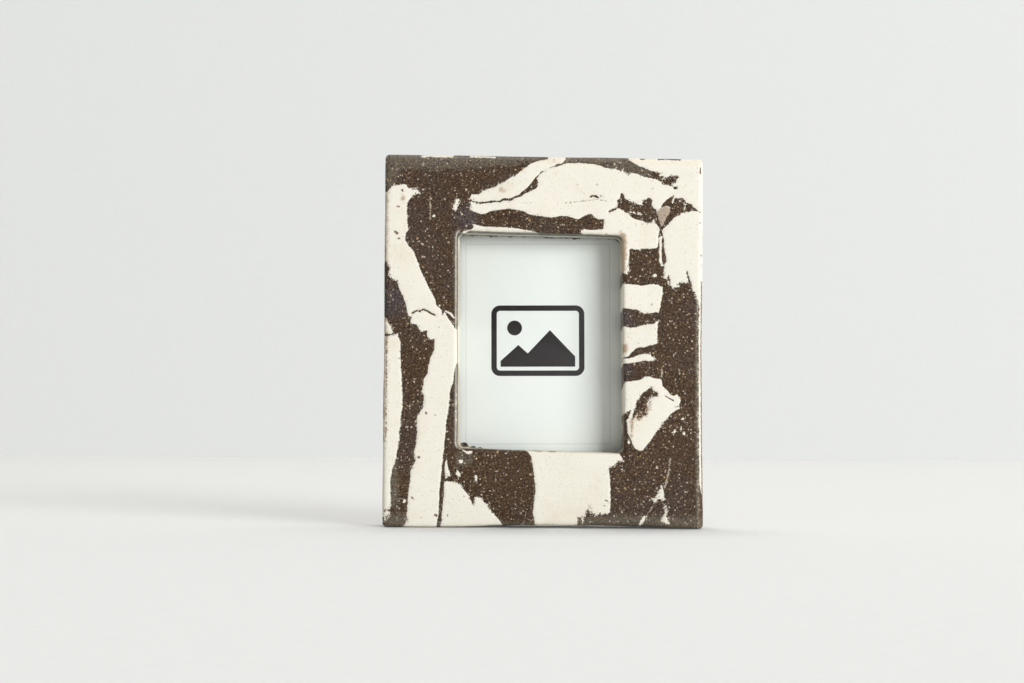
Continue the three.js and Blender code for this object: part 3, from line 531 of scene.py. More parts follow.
class FittingSettings(bpy.types.PropertyGroup):
    """Board, pane and hardware at the back."""

    board_edge: length("Board edge", "Softening of the board's edges", 0.25 * MM)
    pane_edge: length("Pane edge", "Ground edge of the pane", 0.2 * MM)
    metal_edge: length("Metal edge", "Softening of the buttons' edges", 0.2 * MM)
    button_hole: share("Button hole", "Radius of a button's hole as a share of the screw head's", 0.62)
    button_tip: share("Button tip", "Radius of a button's tip as a share of its hub's", 0.58)
    head_gap: length("Head gap", "Gap between a button and the head of its screw", 0.12 * MM)
    head_round: length("Head round", "Rounding of the screw heads", 0.75 * MM)
    foot_bevel: length("Foot bevel", "Bevel at the foot of the screws", 0.4 * MM)
    slot_depth: length("Slot depth", "Depth of the screws' slots", 0.7 * MM)
    slot_width: length("Slot width", "Width of the screws' slots", 0.7 * MM)
    screw_edge: length("Screw edge", "Softening of the screws' edges", 0.06 * MM)
    washer_bore: share("Washer bore", "Radius of a washer's bore as a share of its own", 0.42)
    washer_edge: length("Washer edge", "Softening of the washers' edges", 0.1 * MM)
    pad_wall: share("Pad wall", "Straight part of a pad as a share of its height", 0.3)
    pad_tip: share("Pad tip", "Radius of a pad's flat tip as a share of its own", 0.5)
    veneer: tone("Veneer", "Face of the board", srgb(214, 182, 138))
    veneer_line: tone("Veneer grain", "Darker grain of the board", srgb(176, 136, 92))
    scorch: tone("Scorched edge", "Laser-cut edge of the board", srgb(96, 62, 38))
    brass: tone("Brass", "Colour of buttons and screws", srgb(212, 184, 128))
    tarnish: tone("Tarnish", "Darker film on the brass", srgb(148, 118, 76))
    nylon: tone("Nylon", "Colour of the washers", srgb(232, 230, 222))
    nylon_stain: tone("Nylon stain", "Faint mottle of the washers", srgb(206, 202, 190))
    rubber: tone("Rubber", "Colour of the bumper pads", srgb(58, 56, 54))
    dust: tone("Dust", "Dust on the bumper pads", srgb(120, 116, 108))


class StageSettings(bpy.types.PropertyGroup):
    """Camera, light, floor and backdrop."""

    camera_distance: length("Camera distance", "From the front face, along the view", 0.52)
    camera_pitch: turn("Camera pitch", "How far the camera looks up", 2.4)
    aim_x: length("Aim across", "Where the view meets the front face", -9.7 * MM)
    aim_z: length("Aim height", "Where the view meets the front face", 56.85 * MM)
    camera_roll: turn("Camera roll", "How far the camera leans to its left", 0.38)
    focal: share("Focal length", "In millimetres, on a sensor 36 mm wide", 59.84)
    board_size: length("Board size", "Size of the floor and of the backdrop", 4.0)
    floor_drop: length("Floor drop", "Floor below the frame's feet", 0.01 * MM)
    wall_distance: length("Wall distance", "Backdrop behind the front face", 0.79)
    key_direction: FloatVectorProperty(
        name="Key direction", description="From the frame towards the key light",
        default=(0.73, -0.67, 0.21), size=3, subtype="DIRECTION",
    )
    key_distance: length("Key distance", "Key light from the middle of the frame", 3.6)
    key_width: length("Key width", "Width of the key light", 2.05)
    key_height: length("Key height", "Height of the key light", 1.6)
    key_power: share("Key power", "Power of the key light, in watts", 116)
    top_height: length("Top height", "Height of the top light", 2.4)
    top_depth: length("Top depth", "Depth of the top light, behind the front face", 0.74)
    top_width: length("Top width", "Width of the top light", 1.8)
    top_power: share("Top power", "Power of the top light, in watts", 20)
    room_level: share("Room level", "Level of the room's light from the sides", 0.36)
    room_behind: share("Room behind", "What is added to that level behind the frame", 0.07)
    room_above: share("Room above", "What is added to that level above the frame", 0.06)
    room_shown: share("Room shown", "Level of the room that the camera sees", 0.82)
    room: tone("Room", "Colour of the room's light", srgb(255, 254, 252))
    floor: tone("Floor", "Colour of the floor", srgb(241, 242, 241))
    wall: tone("Wall", "Colour of the backdrop", srgb(231, 233, 232))
    grain: tone("Grain", "Darker grain of the floor and backdrop", srgb(200, 202, 206))
    bounce: tone("Bounce", "Colour of the light that floor and backdrop throw back", srgb(208, 206, 201))
    floor_glow: share("Floor glow", "Share of the floor's look that is its own light", 0.06)
    wall_glow: share("Wall glow", "Share of the backdrop's look that is its own light", 0.55)


class Value:
    """A shader value. Each operator between values, or values and numbers, adds a Math node."""

    def __init__(self, finish, socket):
        self.finish = finish
        self.socket = socket

    def maths(self, operation, first, second=0.0):
        return self.finish.node("ShaderNodeMath", {"operation": operation}, {0: first, 1: second})

    def __add__(self, other):
        return self.maths("ADD", self, other)

    def __radd__(self, other):
        return self.maths("ADD", other, self)

    def __sub__(self, other):
        return self.maths("SUBTRACT", self, other)

    def __rsub__(self, other):
        return self.maths("SUBTRACT", other, self)

    def __mul__(self, other):
        return self.maths("MULTIPLY", self, other)

    def __rmul__(self, other):
        return self.maths("MULTIPLY", other, self)

    def __truediv__(self, other):
        return self.maths("DIVIDE", self, other)

    def __lt__(self, other):
        return self.maths("LESS_THAN", self, other)

    def __gt__(self, other):
        return self.maths("GREATER_THAN", self, other)

    def __abs__(self):
        return self.maths("ABSOLUTE", self)

    def other(self, output):
        """Another output of the same node."""
        return Value(self.finish, self.socket.node.outputs[output])

    def least(self, other):
        return self.maths("MINIMUM", self, other)

    def most(self, other):
        return self.maths("MAXIMUM", self, other)

    def rise(self, low, high):
        """0 below low, 1 above high, and a smooth step between them. High may be the smaller number."""
        return self.finish.node(
            "ShaderNodeMapRange",
            {"interpolation_type": "SMOOTHSTEP", "clamp": True},
            {"Value": self, "From Min": low, "From Max": high},
        )


class Finish:
    """The nodes of one material or world."""

    def __init__(self, owner):
        self.owner = owner
        owner.use_nodes = True
        self.tree = owner.node_tree
        self.tree.nodes.clear()

    def node(self, kind, settings=None, sockets=None, output=0):
        """Adds a node, sets it, feeds its sockets, and gives one of its outputs, if it has any."""
        made = self.tree.nodes.new(kind)
        for name, setting in (settings or {}).items():
            setattr(made, name, setting)
        for name, value in (sockets or {}).items():
            self.feed(made.inputs[name], value)
        return Value(self, made.outputs[output]) if made.outputs else None

    def feed(self, socket, value):
        """Links a value to a socket, or sets the socket to a number or colour."""
        if isinstance(value, Value):
            self.tree.links.new(value.socket, socket)
        elif socket.type == "RGBA":
            socket.default_value = (*value[:3], 1.0)
        else:
            socket.default_value = value

    def place(self):
        """Position in the object, in metres."""
        return self.node("ShaderNodeTexCoord", output="Object")

    def own_place(self):
        """Position from the piece's own middle, in metres, kept in its mesh."""
        return self.node("ShaderNodeAttribute", {"attribute_name": "own_place"}, output="Vector")

    def attribute(self, name):
        return self.node("ShaderNodeAttribute", {"attribute_name": name}, output="Fac")

    def facing(self):
        """The three parts of the direction that the surface faces."""
        return self.split(self.node("ShaderNodeTexCoord", output="Normal"))

    def split(self, vector):
        """The three parts of a vector."""
        first = self.node("ShaderNodeSeparateXYZ", None, {0: vector})
        return [first.other(axis) for axis in range(3)]

    def root(self, value):
        return self.node("ShaderNodeMath", {"operation": "SQRT"}, {0: value})

    def stretched(self, vector, scale):
        """The vector with each part times a scale of its own."""
        return self.node("ShaderNodeVectorMath", {"operation": "MULTIPLY"}, {0: vector, 1: scale})

    def shaken(self, vector, size, amount):
        """The vector moved about by noise, so that what is drawn with it has ragged outlines."""
        sockets = {"Vector": vector, "Scale": 1 / size, "Detail": 2.0}
        noise_colour = self.node("ShaderNodeTexNoise", None, sockets, "Color")
        middle = (0.5, 0.5, 0.5)
        centred = self.node("ShaderNodeVectorMath", {"operation": "SUBTRACT"}, {0: noise_colour, 1: middle})
        moved = self.node("ShaderNodeVectorMath", {"operation": "SCALE"}, {0: centred, "Scale": amount})
        return self.node("ShaderNodeVectorMath", {"operation": "ADD"}, {0: vector, 1: moved})

    def cloud(self, vector, size, detail=3.0, roughness=0.55):
        """Soft noise around 0, mostly from -0.3 to 0.3, with spots of a size in metres."""
        sockets = {"Vector": vector, "Scale": 1 / size, "Detail": detail, "Roughness": roughness}
        return self.node("ShaderNodeTexNoise", None, sockets) - 0.5

    def grains(self, vector, size, chance, softness=0.12):
        """Grains about a size across, in this share of the cells, each with a strength of its own."""
        distance = self.node("ShaderNodeTexVoronoi", None, {"Vector": vector, "Scale": 0.6 / size})
        luck = self.node("ShaderNodeSeparateColor", None, {0: distance.other("Color")})
        radius = 0.14 + 0.24 * luck.other(1)
        strength = 0.4 + 0.6 * luck.other(2)
        return (radius - distance).rise(-softness, softness) * (luck < chance) * strength

    def mix(self, factor, first, second):
        """First where the factor is 0, second where it is 1."""
        settings = {"data_type": "RGBA", "clamp_factor": True}
        return self.node("ShaderNodeMix", settings, {0: factor, 6: first, 7: second}, 2)

    def coats(self, colour, *coats):
        """A colour under coats, each given as how far it covers and its own colour."""
        for cover, own_colour in coats:
            colour = self.mix(cover, colour, own_colour)
        return colour

    def seen_rays(self):
        """1 for rays that come from the camera, a mirror or a clear sheet."""
        camera = self.node("ShaderNodeLightPath", None, None, "Is Camera Ray")
        return camera.most(camera.other("Is Glossy Ray")).most(camera.other("Is Transmission Ray"))

    def bump(self, height, depth, strength=1.0):
        """Normal of a surface with this relief, 0 to 1, over a depth in metres."""
        return self.node(
            "ShaderNodeBump", None, {"Height": height, "Distance": depth, "Strength": strength}
        )

    def surface(self, **sockets):
        """Ends the material in a Principled BSDF. Underscores in the names stand for spaces."""
        spaced = {name.replace("_", " "): value for name, value in sockets.items()}
        self.end(self.node("ShaderNodeBsdfPrincipled", None, spaced))

    def end(self, shader):
        self.node("ShaderNodeOutputMaterial", None, {"Surface": shader})


def new_finish(name):
    """An empty material."""
    return Finish(bpy.data.materials.new(name))


def clay_finish(clay):
    """Cream and dark stoneware wedged together, with torn band edges, grog and a satin skin, and with painted
    sheen, shade and highlights.
    """
    finish = new_finish("marbled_clay")
    place = finish.place()
    band = finish.attribute("cream_depth")
    rim = finish.attribute("rim")
    upward = finish.facing()[2]
    crumbled = finish.shaken(place, 0.5 * MM, 0.7 * MM)
    coarse = finish.cloud(place, 1.6 * MM, 3.0, 0.6)
    fine = finish.cloud(place, 0.45 * MM, 3.0, 0.65)
    mottle = finish.cloud(crumbled, 0.6 * MM, 3.0, 0.75)
    broad = finish.cloud(place, 9 * MM, 4.0, 0.6)
    wide = finish.cloud(place, 26 * MM, 3.0)
    ragged = 0.35 + (broad + wide * 0.6).rise(-0.1, 0.3) * 0.5 + finish.attribute("ragged") * 1.2
    torn = band + (coarse * 1.5 + fine * 1.9) * ragged
    crumbs = finish.grains(crumbled, *LOOSE_CRUMBS) * abs(torn).rise(1.2, 0.1) * ragged.least(1.0)
    cream = abs(torn.rise(-0.1, 0.1) - crumbs)
    smeared = finish.attribute("cut_face") * (0.75 + coarse * 0.8)

    # Stains at random, and painted shade on the cream's upward faces.
    stain_and_top_shade = (broad + wide * 0.7).rise(-0.02, 0.45) * 0.6 + upward.rise(0.05, 0.6) * 0.45
    # Dragged slip and wear, and painted shade on the lip at the window's top-right corner and along the left
    # edge.
    dragged = (finish.attribute("smear_and_shade") + coarse * 2.0 + fine * 1.5).rise(-0.4, 0.8)
    marks = (finish.attribute("brown_mark") + fine * 0.9).rise(0.02, 0.16)
    grey = (finish.attribute("grey_patch") + coarse + fine).rise(-0.1, 0.5)
    pale = finish.coats(
        clay.cream,
        (stain_and_top_shade + fine.rise(0.0, 0.3), clay.cream_stain),
        (smeared * 0.6, clay.cut_face),
        (dragged * 0.85, clay.smear_and_shade),
        (finish.grains(crumbled, *TAN_SPECKS) * 0.45, clay.rust),
        ((finish.grains(crumbled, *RUST_SPECKS) + marks).least(1.0) * 0.9, clay.rust),
        (grey * 0.9, clay.grey_slip),
        (grey * mottle.rise(0.0, 0.22) * 0.7, clay.dark),
    )

    cool = (broad * 0.8 + wide).rise(-0.1, 0.3) * 0.4 + finish.attribute("cool")
    # Painted sheen on the dark clay: greyish in the given zones and along the right side, and on upward
    # faces.
    olive_sheen = (finish.attribute("olive_sheen") + coarse * 2.4 + mottle * 1.2).rise(-0.9, 1.1) * 0.65
    sheen_on_top = upward.rise(0.2, 0.9) * (0.35 + coarse * 0.8)
    small_grog = finish.grains(crumbled, *SMALL_GROG)
    large_grog = finish.grains(finish.stretched(crumbled, (1, 0.9, 1)), *LARGE_GROG)
    gold_grog = finish.grains(finish.stretched(crumbled, (0.9, 1, 1)), *GOLD_GROG)
    scratch = (finish.attribute("pale_mark") + fine * 1.2 + coarse * 0.8).rise(-0.1, 0.2)
    deep = finish.coats(
        clay.dark,
        (cool, clay.dark_cool),
        (olive_sheen.most(sheen_on_top), clay.skin),
        (mottle.rise(0.0, 0.2) * 0.8, clay.grit),
        (mottle.rise(0.0, -0.18) * 0.95, clay.pit),
        (finish.grains(crumbled, *PITS) * 0.7, clay.pit),
        (small_grog * 0.85, clay.grog),
        (gold_grog * 0.85, clay.gold_grog),
        (large_grog * 0.95, clay.grog),
        (scratch * 0.5, clay.grog),
        (smeared, clay.cut_face),
    )

    worn = rim.rise(0.2, 0.8) * (coarse + broad).rise(0.06, 0.34)
    colour = finish.coats(
        deep,
        (cream, pale),
        (worn * 0.6 * cream, clay.rust),
        # Painted shade on the top wall, in the hollow behind the left lip, along the top tear and on the dark
        # crumbs; painted highlights on the arrises.
        (finish.attribute("top_wall_shade") * (0.9 + coarse), clay.top_wall_shade),
        (finish.attribute("hollow") * (0.85 + coarse), clay.pit),
        (finish.attribute("arris_highlight") * (0.7 + coarse * 1.5), clay.cream),
    )
    seam = abs(torn).rise(0.5, 0.05)
    height = coarse * 0.5 + fine * 0.6 + 0.5 + small_grog * 0.2 + large_grog * 0.35 - seam * 0.35
    finish.surface(
        Base_Color=colour, Roughness=0.54 + coarse * 0.16, Specular_IOR_Level=0.28,
        Normal=finish.bump(height, 0.1 * MM),
    )
    return finish


def card_finish(card):
    """White photo card with a faint border line and a plain picture sign: a framed peak, a hill and a sun."""
    finish = new_finish("print_card")
    card_across, _, up = finish.split(finish.own_place())
    across = card_across - card.picture_shift
    edge = 0.04 * MM

    def box_gap(middle_z, width, height, radius=0.0):
        """Distance outside a rounded box, negative inside it."""
        gap_x = (abs(across) - (width / 2 - radius)).most(0.0)
        gap_z = (abs(up - middle_z) - (height / 2 - radius)).most(0.0)
        outside = finish.root(gap_x * gap_x + gap_z * gap_z)
        inner = (abs(across) - width / 2).most(abs(up - middle_z) - height / 2).least(-radius)
        return outside - radius + (inner + radius)

    def peak(x, z, slope):
        """Distance above a hill with its top at x, z."""
        return up - (z - slope * abs(across - x))

    border = abs(box_gap(card.picture_lift, card.picture_width, card.picture_height))
    line = border.rise(card.line_width / 2 + edge, card.line_width / 2 - edge)

    sign_z = card.picture_lift + card.sign_lift
    half_x = card.sign_width / 2
    half_z = card.sign_height / 2
    sign_gap = box_gap(sign_z, card.sign_width, card.sign_height, card.sign_stroke * 1.6)
    ring = abs(sign_gap + card.sign_stroke / 2) - card.sign_stroke / 2
    tall_peak = peak(0.26 * half_x, sign_z + 0.3 * half_z, 1.05)
    low_peak = peak(-0.42 * half_x, sign_z - 0.12 * half_z, 0.9)
    hills = tall_peak.least(low_peak).most(sign_gap + card.sign_stroke * 1.7)
    sun_x = across + 0.5 * half_x
    sun_z = up - (sign_z + 0.36 * half_z)
    sun = finish.root(sun_x * sun_x + sun_z * sun_z) - 0.21 * half_z
    sign = ring.least(hills).least(sun).rise(edge, -edge)

    place = finish.place()
    fibre = finish.cloud(place, 0.5 * MM, 3.0, 0.6)
    shade = finish.cloud(place, 30 * MM, 2.0)
    tinted = (shade + 0.2) * 0.2
    colour = finish.coats(card.card, (tinted, card.line), (line * 0.6, card.line), (sign, card.ink))
    roughness = 0.34 + fibre * 0.1 + sign * 0.08
    finish.surface(Base_Color=colour, Roughness=roughness, Normal=finish.bump(fibre + 0.5, 0.006 * MM))
    return finish


def pane_finish():
    """Clear sheet: see-through straight on, glossy at a slant."""
    finish = new_finish("clear_pane")
    white = srgb(255, 255, 255)
    clear = finish.node("ShaderNodeBsdfTransparent", None, {"Color": white})
    gloss = finish.node("ShaderNodeBsdfAnisotropic", None, {"Color": white, "Roughness": 0.04})
    slant = finish.node("ShaderNodeLayerWeight", None, {"Blend": 0.5}, "Facing")
    mirror = slant * slant * slant * slant * 0.5 + 0.015
    finish.end(finish.node("ShaderNodeMixShader", None, {0: mirror, 1: clear, 2: gloss}))
    return finish


def plywood_finish(fitting):
    """Sanded veneer with grain along its height, and scorched edges that show the plies."""
    finish = new_finish("plywood")
    place = finish.place()
    facing = abs(finish.facing()[1])
    depth = finish.split(place)[1]
    ply_width = 0.5 * MM
    ply = finish.node("ShaderNodeMath", {"operation": "PINGPONG"}, {0: depth, 1: ply_width}) / ply_width
    flame = finish.cloud(finish.stretched(place, (1, 1, 0.06)), 2.6 * MM, 4.0, 0.6)
    pores = finish.cloud(finish.stretched(place, (1, 1, 0.05)), 0.4 * MM, 2.0, 0.7)
    broad = finish.cloud(finish.stretched(place, (1, 1, 0.2)), 14 * MM, 3.0)
    veneer = finish.coats(
        fitting.veneer,
        ((flame + broad * 0.8).rise(-0.15, 0.35), fitting.veneer_line),
        (pores.rise(0.08, 0.3) * 0.45, fitting.scorch),
    )
    edge_tone = finish.coats(
        fitting.scorch,
        (ply.rise(0.35, 0.65) * 0.5, fitting.veneer_line),
        ((flame + 0.2) * 0.5, fitting.scorch),
    )
    colour = finish.mix(facing.rise(0.75, 0.35), veneer, edge_tone)
    height = flame * 0.6 + pores * 0.8 + 0.5
    roughness = 0.6 + pores * 0.25
    finish.surface(Base_Color=colour, Roughness=roughness, Normal=finish.bump(height, 0.05 * MM))
    return finish


def brass_finish(name, fitting, turned):
    """Brass with fine lines, along the arm where brushed and round the axis where turned."""
    finish = new_finish(name)
    own = finish.own_place()
    across, _, up = finish.split(own)
    if turned:
        radius = finish.root(across * across + up * up)
        lines = finish.node("ShaderNodeCombineXYZ", None, {0: radius})
        streak = finish.cloud(lines, 0.12 * MM, 2.0, 0.6)
    else:
        streak = finish.cloud(finish.stretched(own, (0.03, 1, 1)), 0.1 * MM, 3.0, 0.6)
    film = finish.cloud(finish.place(), 3.5 * MM, 4.0, 0.6)
    spots = finish.grains(own, 0.5 * MM, 0.05)
    colour = finish.mix((film.rise(0.0, 0.4) * 0.6 + spots * 0.4) * 0.8, fitting.brass, fitting.tarnish)
    roughness = 0.27 + streak * 0.2 + film * 0.22
    finish.surface(
        Base_Color=colour, Metallic=1.0, Roughness=roughness, Normal=finish.bump(streak + 0.5, 0.012 * MM)
    )
    return finish


def nylon_finish(fitting):
    """Moulded off-white washer with a faint mottle."""
    finish = new_finish("nylon")
    mottle = finish.cloud(finish.own_place(), 1.2 * MM, 3.0)
    colour = finish.mix(mottle.rise(0.0, 0.5) * 0.4, fitting.nylon, fitting.nylon_stain)
    finish.surface(
        Base_Color=colour, Roughness=0.42 + mottle * 0.15, Normal=finish.bump(mottle + 0.5, 0.01 * MM)
    )
    return finish


def rubber_finish(fitting):
    """Soft matt pad with fine grain and a little dust."""
    finish = new_finish("pad_rubber")
    own = finish.own_place()
    grain = finish.cloud(own, 0.25 * MM, 3.0, 0.65)
    dust = finish.cloud(own, 1.8 * MM, 4.0, 0.6)
    colour = finish.mix(dust.rise(0.05, 0.4) * 0.35, fitting.rubber, fitting.dust)
    finish.surface(
        Base_Color=colour, Roughness=0.78 + grain * 0.2, Normal=finish.bump(grain + 0.5, 0.03 * MM)
    )
    return finish


def stage_finish(name, stage, colour, glow_share):
    """Painted board with the frame's shadow on it, which the camera sees lit by itself to a share."""
    finish = new_finish(name)
    grain = finish.cloud(finish.place(), 4 * MM, 4.0, 0.6)
    painted = finish.mix((grain + 0.3) * 0.12, colour, stage.grain)
    seen = finish.seen_rays()
    lit_colour = finish.mix(seen, stage.bounce, painted)
    settings = {"Base Color": lit_colour, "Roughness": 0.9, "Specular IOR Level": 0.1}
    lit = finish.node("ShaderNodeBsdfPrincipled", None, settings)
    glow = finish.node("ShaderNodeEmission", None, {"Color": painted, "Strength": 1.0})
    finish.end(finish.node("ShaderNodeMixShader", None, {0: seen * glow_share, 1: lit, 2: glow}))
    return finish


def make_active(piece):
    """Selects one object alone."""
    bpy.ops.object.select_all(action="DESELECT")
    piece.select_set(True)
    bpy.context.view_layer.objects.active = piece


def named(name):
    """The object that an operator has just added, with its name."""
    piece = bpy.context.object
    piece.name = name
    piece.data.name = name
    return piece


def apply_place():
    """Puts the place, turn and size of the selected object into its mesh."""
    bpy.ops.object.transform_apply(location=True, rotation=True, scale=True)


@contextmanager
def editing():
    """Edit mode on the active object, and object mode again afterwards."""
    bpy.ops.object.mode_set(mode="EDIT")
    yield
    bpy.ops.object.mode_set(mode="OBJECT")


def pick(piece, kind, wanted):
    """In edit mode, selects the faces or edges that a test wants, and no others."""
    bpy.ops.mesh.select_mode(type=kind)
    bpy.ops.mesh.select_all(action="DESELECT")
    mesh = bmesh.from_edit_mesh(piece.data)
    for part in mesh.faces if kind == "FACE" else mesh.edges:
        part.select_set(bool(wanted(part)))
    bmesh.update_edit_mesh(piece.data)


def faces_along(axis, sign):
    """A test for faces that look along an axis."""
    return lambda face: face.normal[axis] * sign > 0.9


def new_rod(name, radius, depth, middle_y=0.0, sides=64):
    """A cylinder along Y, as a new object."""
    bpy.ops.object.select_all(action="DESELECT")
    bpy.ops.mesh.primitive_cylinder_add(
        vertices=sides, radius=radius, depth=depth, location=(0, middle_y, 0), rotation=QUARTER_TURN
    )
    rod = named(name)
    apply_place()
    return rod


def apply_modifier(piece, kind, **settings):
    """Adds a modifier, sets it and applies it."""
    make_active(piece)
    modifier = piece.modifiers.new(kind.title(), kind)
    for name, setting in settings.items():
        setattr(modifier, name, setting)
    bpy.ops.object.modifier_apply(modifier=modifier.name)


def soften(piece, width, segments=3):
    """Rounds the sharp edges and shades the rest smooth."""
    apply_modifier(
        piece, "BEVEL", width=width, segments=segments, limit_method="ANGLE", angle_limit=SHARP_ANGLE
    )
    bpy.ops.object.shade_smooth_by_angle(angle=SHARP_ANGLE)


def cut(piece, cutter):
    """Takes a cutter's shape out of a piece and deletes the cutter."""
    apply_modifier(piece, "BOOLEAN", object=cutter, operation="DIFFERENCE", solver="EXACT")
    bpy.data.objects.remove(cutter)
    make_active(piece)


def merged_copy(node, name):
    """A copy of a CAD node's mesh as a new piece, with its loose triangles joined."""
    piece = bpy.data.objects.new(name, frame["nodes"][node].data.copy())
    piece.data.name = name
    bpy.context.scene.collection.objects.link(piece)
    make_active(piece)
    with editing():
        bpy.ops.mesh.select_all(action="SELECT")
        bpy.ops.mesh.remove_doubles(threshold=MERGE_GAP)
        bpy.ops.mesh.dissolve_limited(angle_limit=FLAT_ANGLE)
    bpy.ops.object.shade_flat()
    return piece


def vertex_vectors(piece, kind="co"):
    """Where the vertices are, or their normals, as an array."""
    vectors = np.empty(len(piece.data.vertices) * 3)
    piece.data.vertices.foreach_get(kind, vectors)
    return vectors.reshape(-1, 3)


def keep_values(piece, name, values):
    """Stores a number for each vertex."""
    kept = piece.data.attributes.new(name, "FLOAT", "POINT")
    kept.data.foreach_set("value", values.astype(np.float32))


def keep_own_place(piece, middle):
    """Stores each vertex's position from the piece's own middle."""
    kept = piece.data.attributes.new("own_place", "FLOAT_VECTOR", "POINT")
    from_middle = vertex_vectors(piece) - np.array(middle)
    kept.data.foreach_set("vector", from_middle.ravel().astype(np.float32))


def hand_over(piece, node, finish):
    """The finished piece takes its node's place, body and slot."""
    piece.data.materials.clear()
    piece.data.materials.append(finish.owner)
    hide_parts(node)
    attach(piece, frame["nodes"][node]["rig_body"])


def copies_at_corners(model, name, node_name, finish, middle_of, turn_of=lambda corner: 0.0):
    """A copy of a model, made round the origin, at each corner, in the place of its CAD node."""
    for corner in CORNERS:
        piece = model.copy()
        piece.data = model.data.copy()
        piece.name = f"{name}_{corner}"
        piece.data.name = piece.name
        bpy.context.scene.collection.objects.link(piece)
        keep_own_place(piece, (0, 0, 0))
        piece.location = middle_of(corner)
        piece.rotation_euler = (0, turn_of(corner), 0)
        make_active(piece)
        apply_place()
        hand_over(piece, f"{node_name}_{corner}", finish)
    bpy.data.objects.remove(model)


def pivot_at(corner):
    """Where a button's axis meets the middle of its thickness."""
    low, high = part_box(f"pivot_screw_{corner}")
    button_low, button_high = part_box(f"turn_button_{corner}")
    return Vector(((low.x + high.x) / 2, (button_low.y + button_high.y) / 2, (low.z + high.z) / 2))


def segment_gap(points, start, end):
    """How far points lie from a straight line between two ends."""
    side = end - start
    offset = points - start
    along = np.clip(offset @ side / (side @ side), 0, 1)
    return np.hypot(*(offset - along[:, None] * side).T)


def outline_depth(points, outline):
    """How deep points lie inside a closed outline, negative outside it."""
    corners = np.array(outline, float)
    inside = np.zeros(len(points), bool)
    nearest = np.full(len(points), np.inf)
    for start, end in zip(corners, np.roll(corners, -1, axis=0)):
        nearest = np.minimum(nearest, segment_gap(points, start, end))
        run, rise = end - start
        if rise != 0:
            crossing = (start[1] > points[:, 1]) != (end[1] > points[:, 1])
            where = start[0] + (points[:, 1] - start[1]) * run / rise
            inside ^= crossing & (points[:, 0] < where)
    return np.where(inside, nearest, -nearest)


def stroke_depth(points, stroke):
    """How deep points lie inside a drawn line of some half width, negative outside it."""
    half_width, line = stroke
    corners = np.array(line, float)
    gaps = [segment_gap(points, start, end) for start, end in zip(corners[:-1], corners[1:])]
    return half_width - np.min(gaps, axis=0)


def cream_depth(points):
    """How deep points lie inside the cream clay, in millimetres, negative in the dark clay."""
    depth = np.full(len(points), -FAR_FROM_BAND)
    for outline in CREAM_BANDS.values():
        depth = np.maximum(depth, outline_depth(points, outline))
    for outline in DARK_OVER_CREAM.values():
        depth = np.minimum(depth, -outline_depth(points, outline))
    for stroke in DARK_STROKES:
        depth = np.minimum(depth, -stroke_depth(points, stroke))
    for stroke in CREAM_STROKES:
        depth = np.maximum(depth, stroke_depth(points, stroke))
    return np.clip(depth, -FAR_FROM_BAND, FAR_FROM_BAND)


def deepest(points, shapes, depth_in):
    """How deep points lie inside the nearest of the shapes, within a limit to both sides."""
    depths = [depth_in(points, shape) for shape in shapes]
    return np.clip(np.max(depths, axis=0), -FAR_FROM_MARK, FAR_FROM_MARK)


def in_spots(points, spots):
    """1 in the middle of a spot, falling to 0 at its rim."""
    nearest = [np.hypot(points[:, 0] - x, points[:, 1] - z) / radius for x, z, radius in spots]
    return np.clip(1.3 - 1.3 * np.min(nearest, axis=0), 0, 1)


def ramp(values, start, width):
    """0 up to a start, rising to 1 a width further on."""
    return np.clip((values - start) / width, 0, 1)


def waves(along, parts):
    """A sum of sine waves along a line."""
    return sum(height * np.sin(along / stretch + shift) for height, stretch, shift in parts)


def clouds(places, size, seed):
    """Soft noise at each place, about -1 to 1, with spots of a size in the places' unit."""
    shift = Vector((seed, 2.7 * seed, -1.3 * seed))
    return np.array([noise.noise(Vector(place) / size + shift) for place in places])


def on_the_face(places, stage):
    """Where the clay at each place comes to the front face, as (x, z) in the outlines' millimetres.

    The bands run back through the slab and sway on the way. The outlines lean as the camera does.
    """
    x, y, z = places.T / MM
    drift = np.clip(y - y.min() - SWAY_START, 0, None)
    swayed_x = x + waves(z, SWAY_ACROSS) * drift
    swayed_z = z + waves(x, SWAY_UP) * drift
    lean = stage.camera_roll
    across = swayed_x + (swayed_z - stage.aim_z / MM) * lean
    up = swayed_z - (swayed_x - stage.aim_x / MM) * lean + OUTLINE_LIFT
    return np.stack([across, up], axis=1)


def crumb_middle(x, depth, z):
    """Where a crumb given in millimetres lies."""
    return Vector((x * MM, cad_low.y + depth * MM, z * MM))


def crumb_share(places):
    """1 on the dark crumbs in the corner of the window, falling to 0 close by. Their darkness is painted
    shade.
    """
    shares = []
    for x, depth, z, radius in DARK_CRUMBS:
        gap = np.linalg.norm(places - np.array(crumb_middle(x, depth, z)), axis=1) / MM - radius
        shares.append(1 - ramp(gap, 0, CRUMB_BLEND))
    return np.max(shares, axis=0)


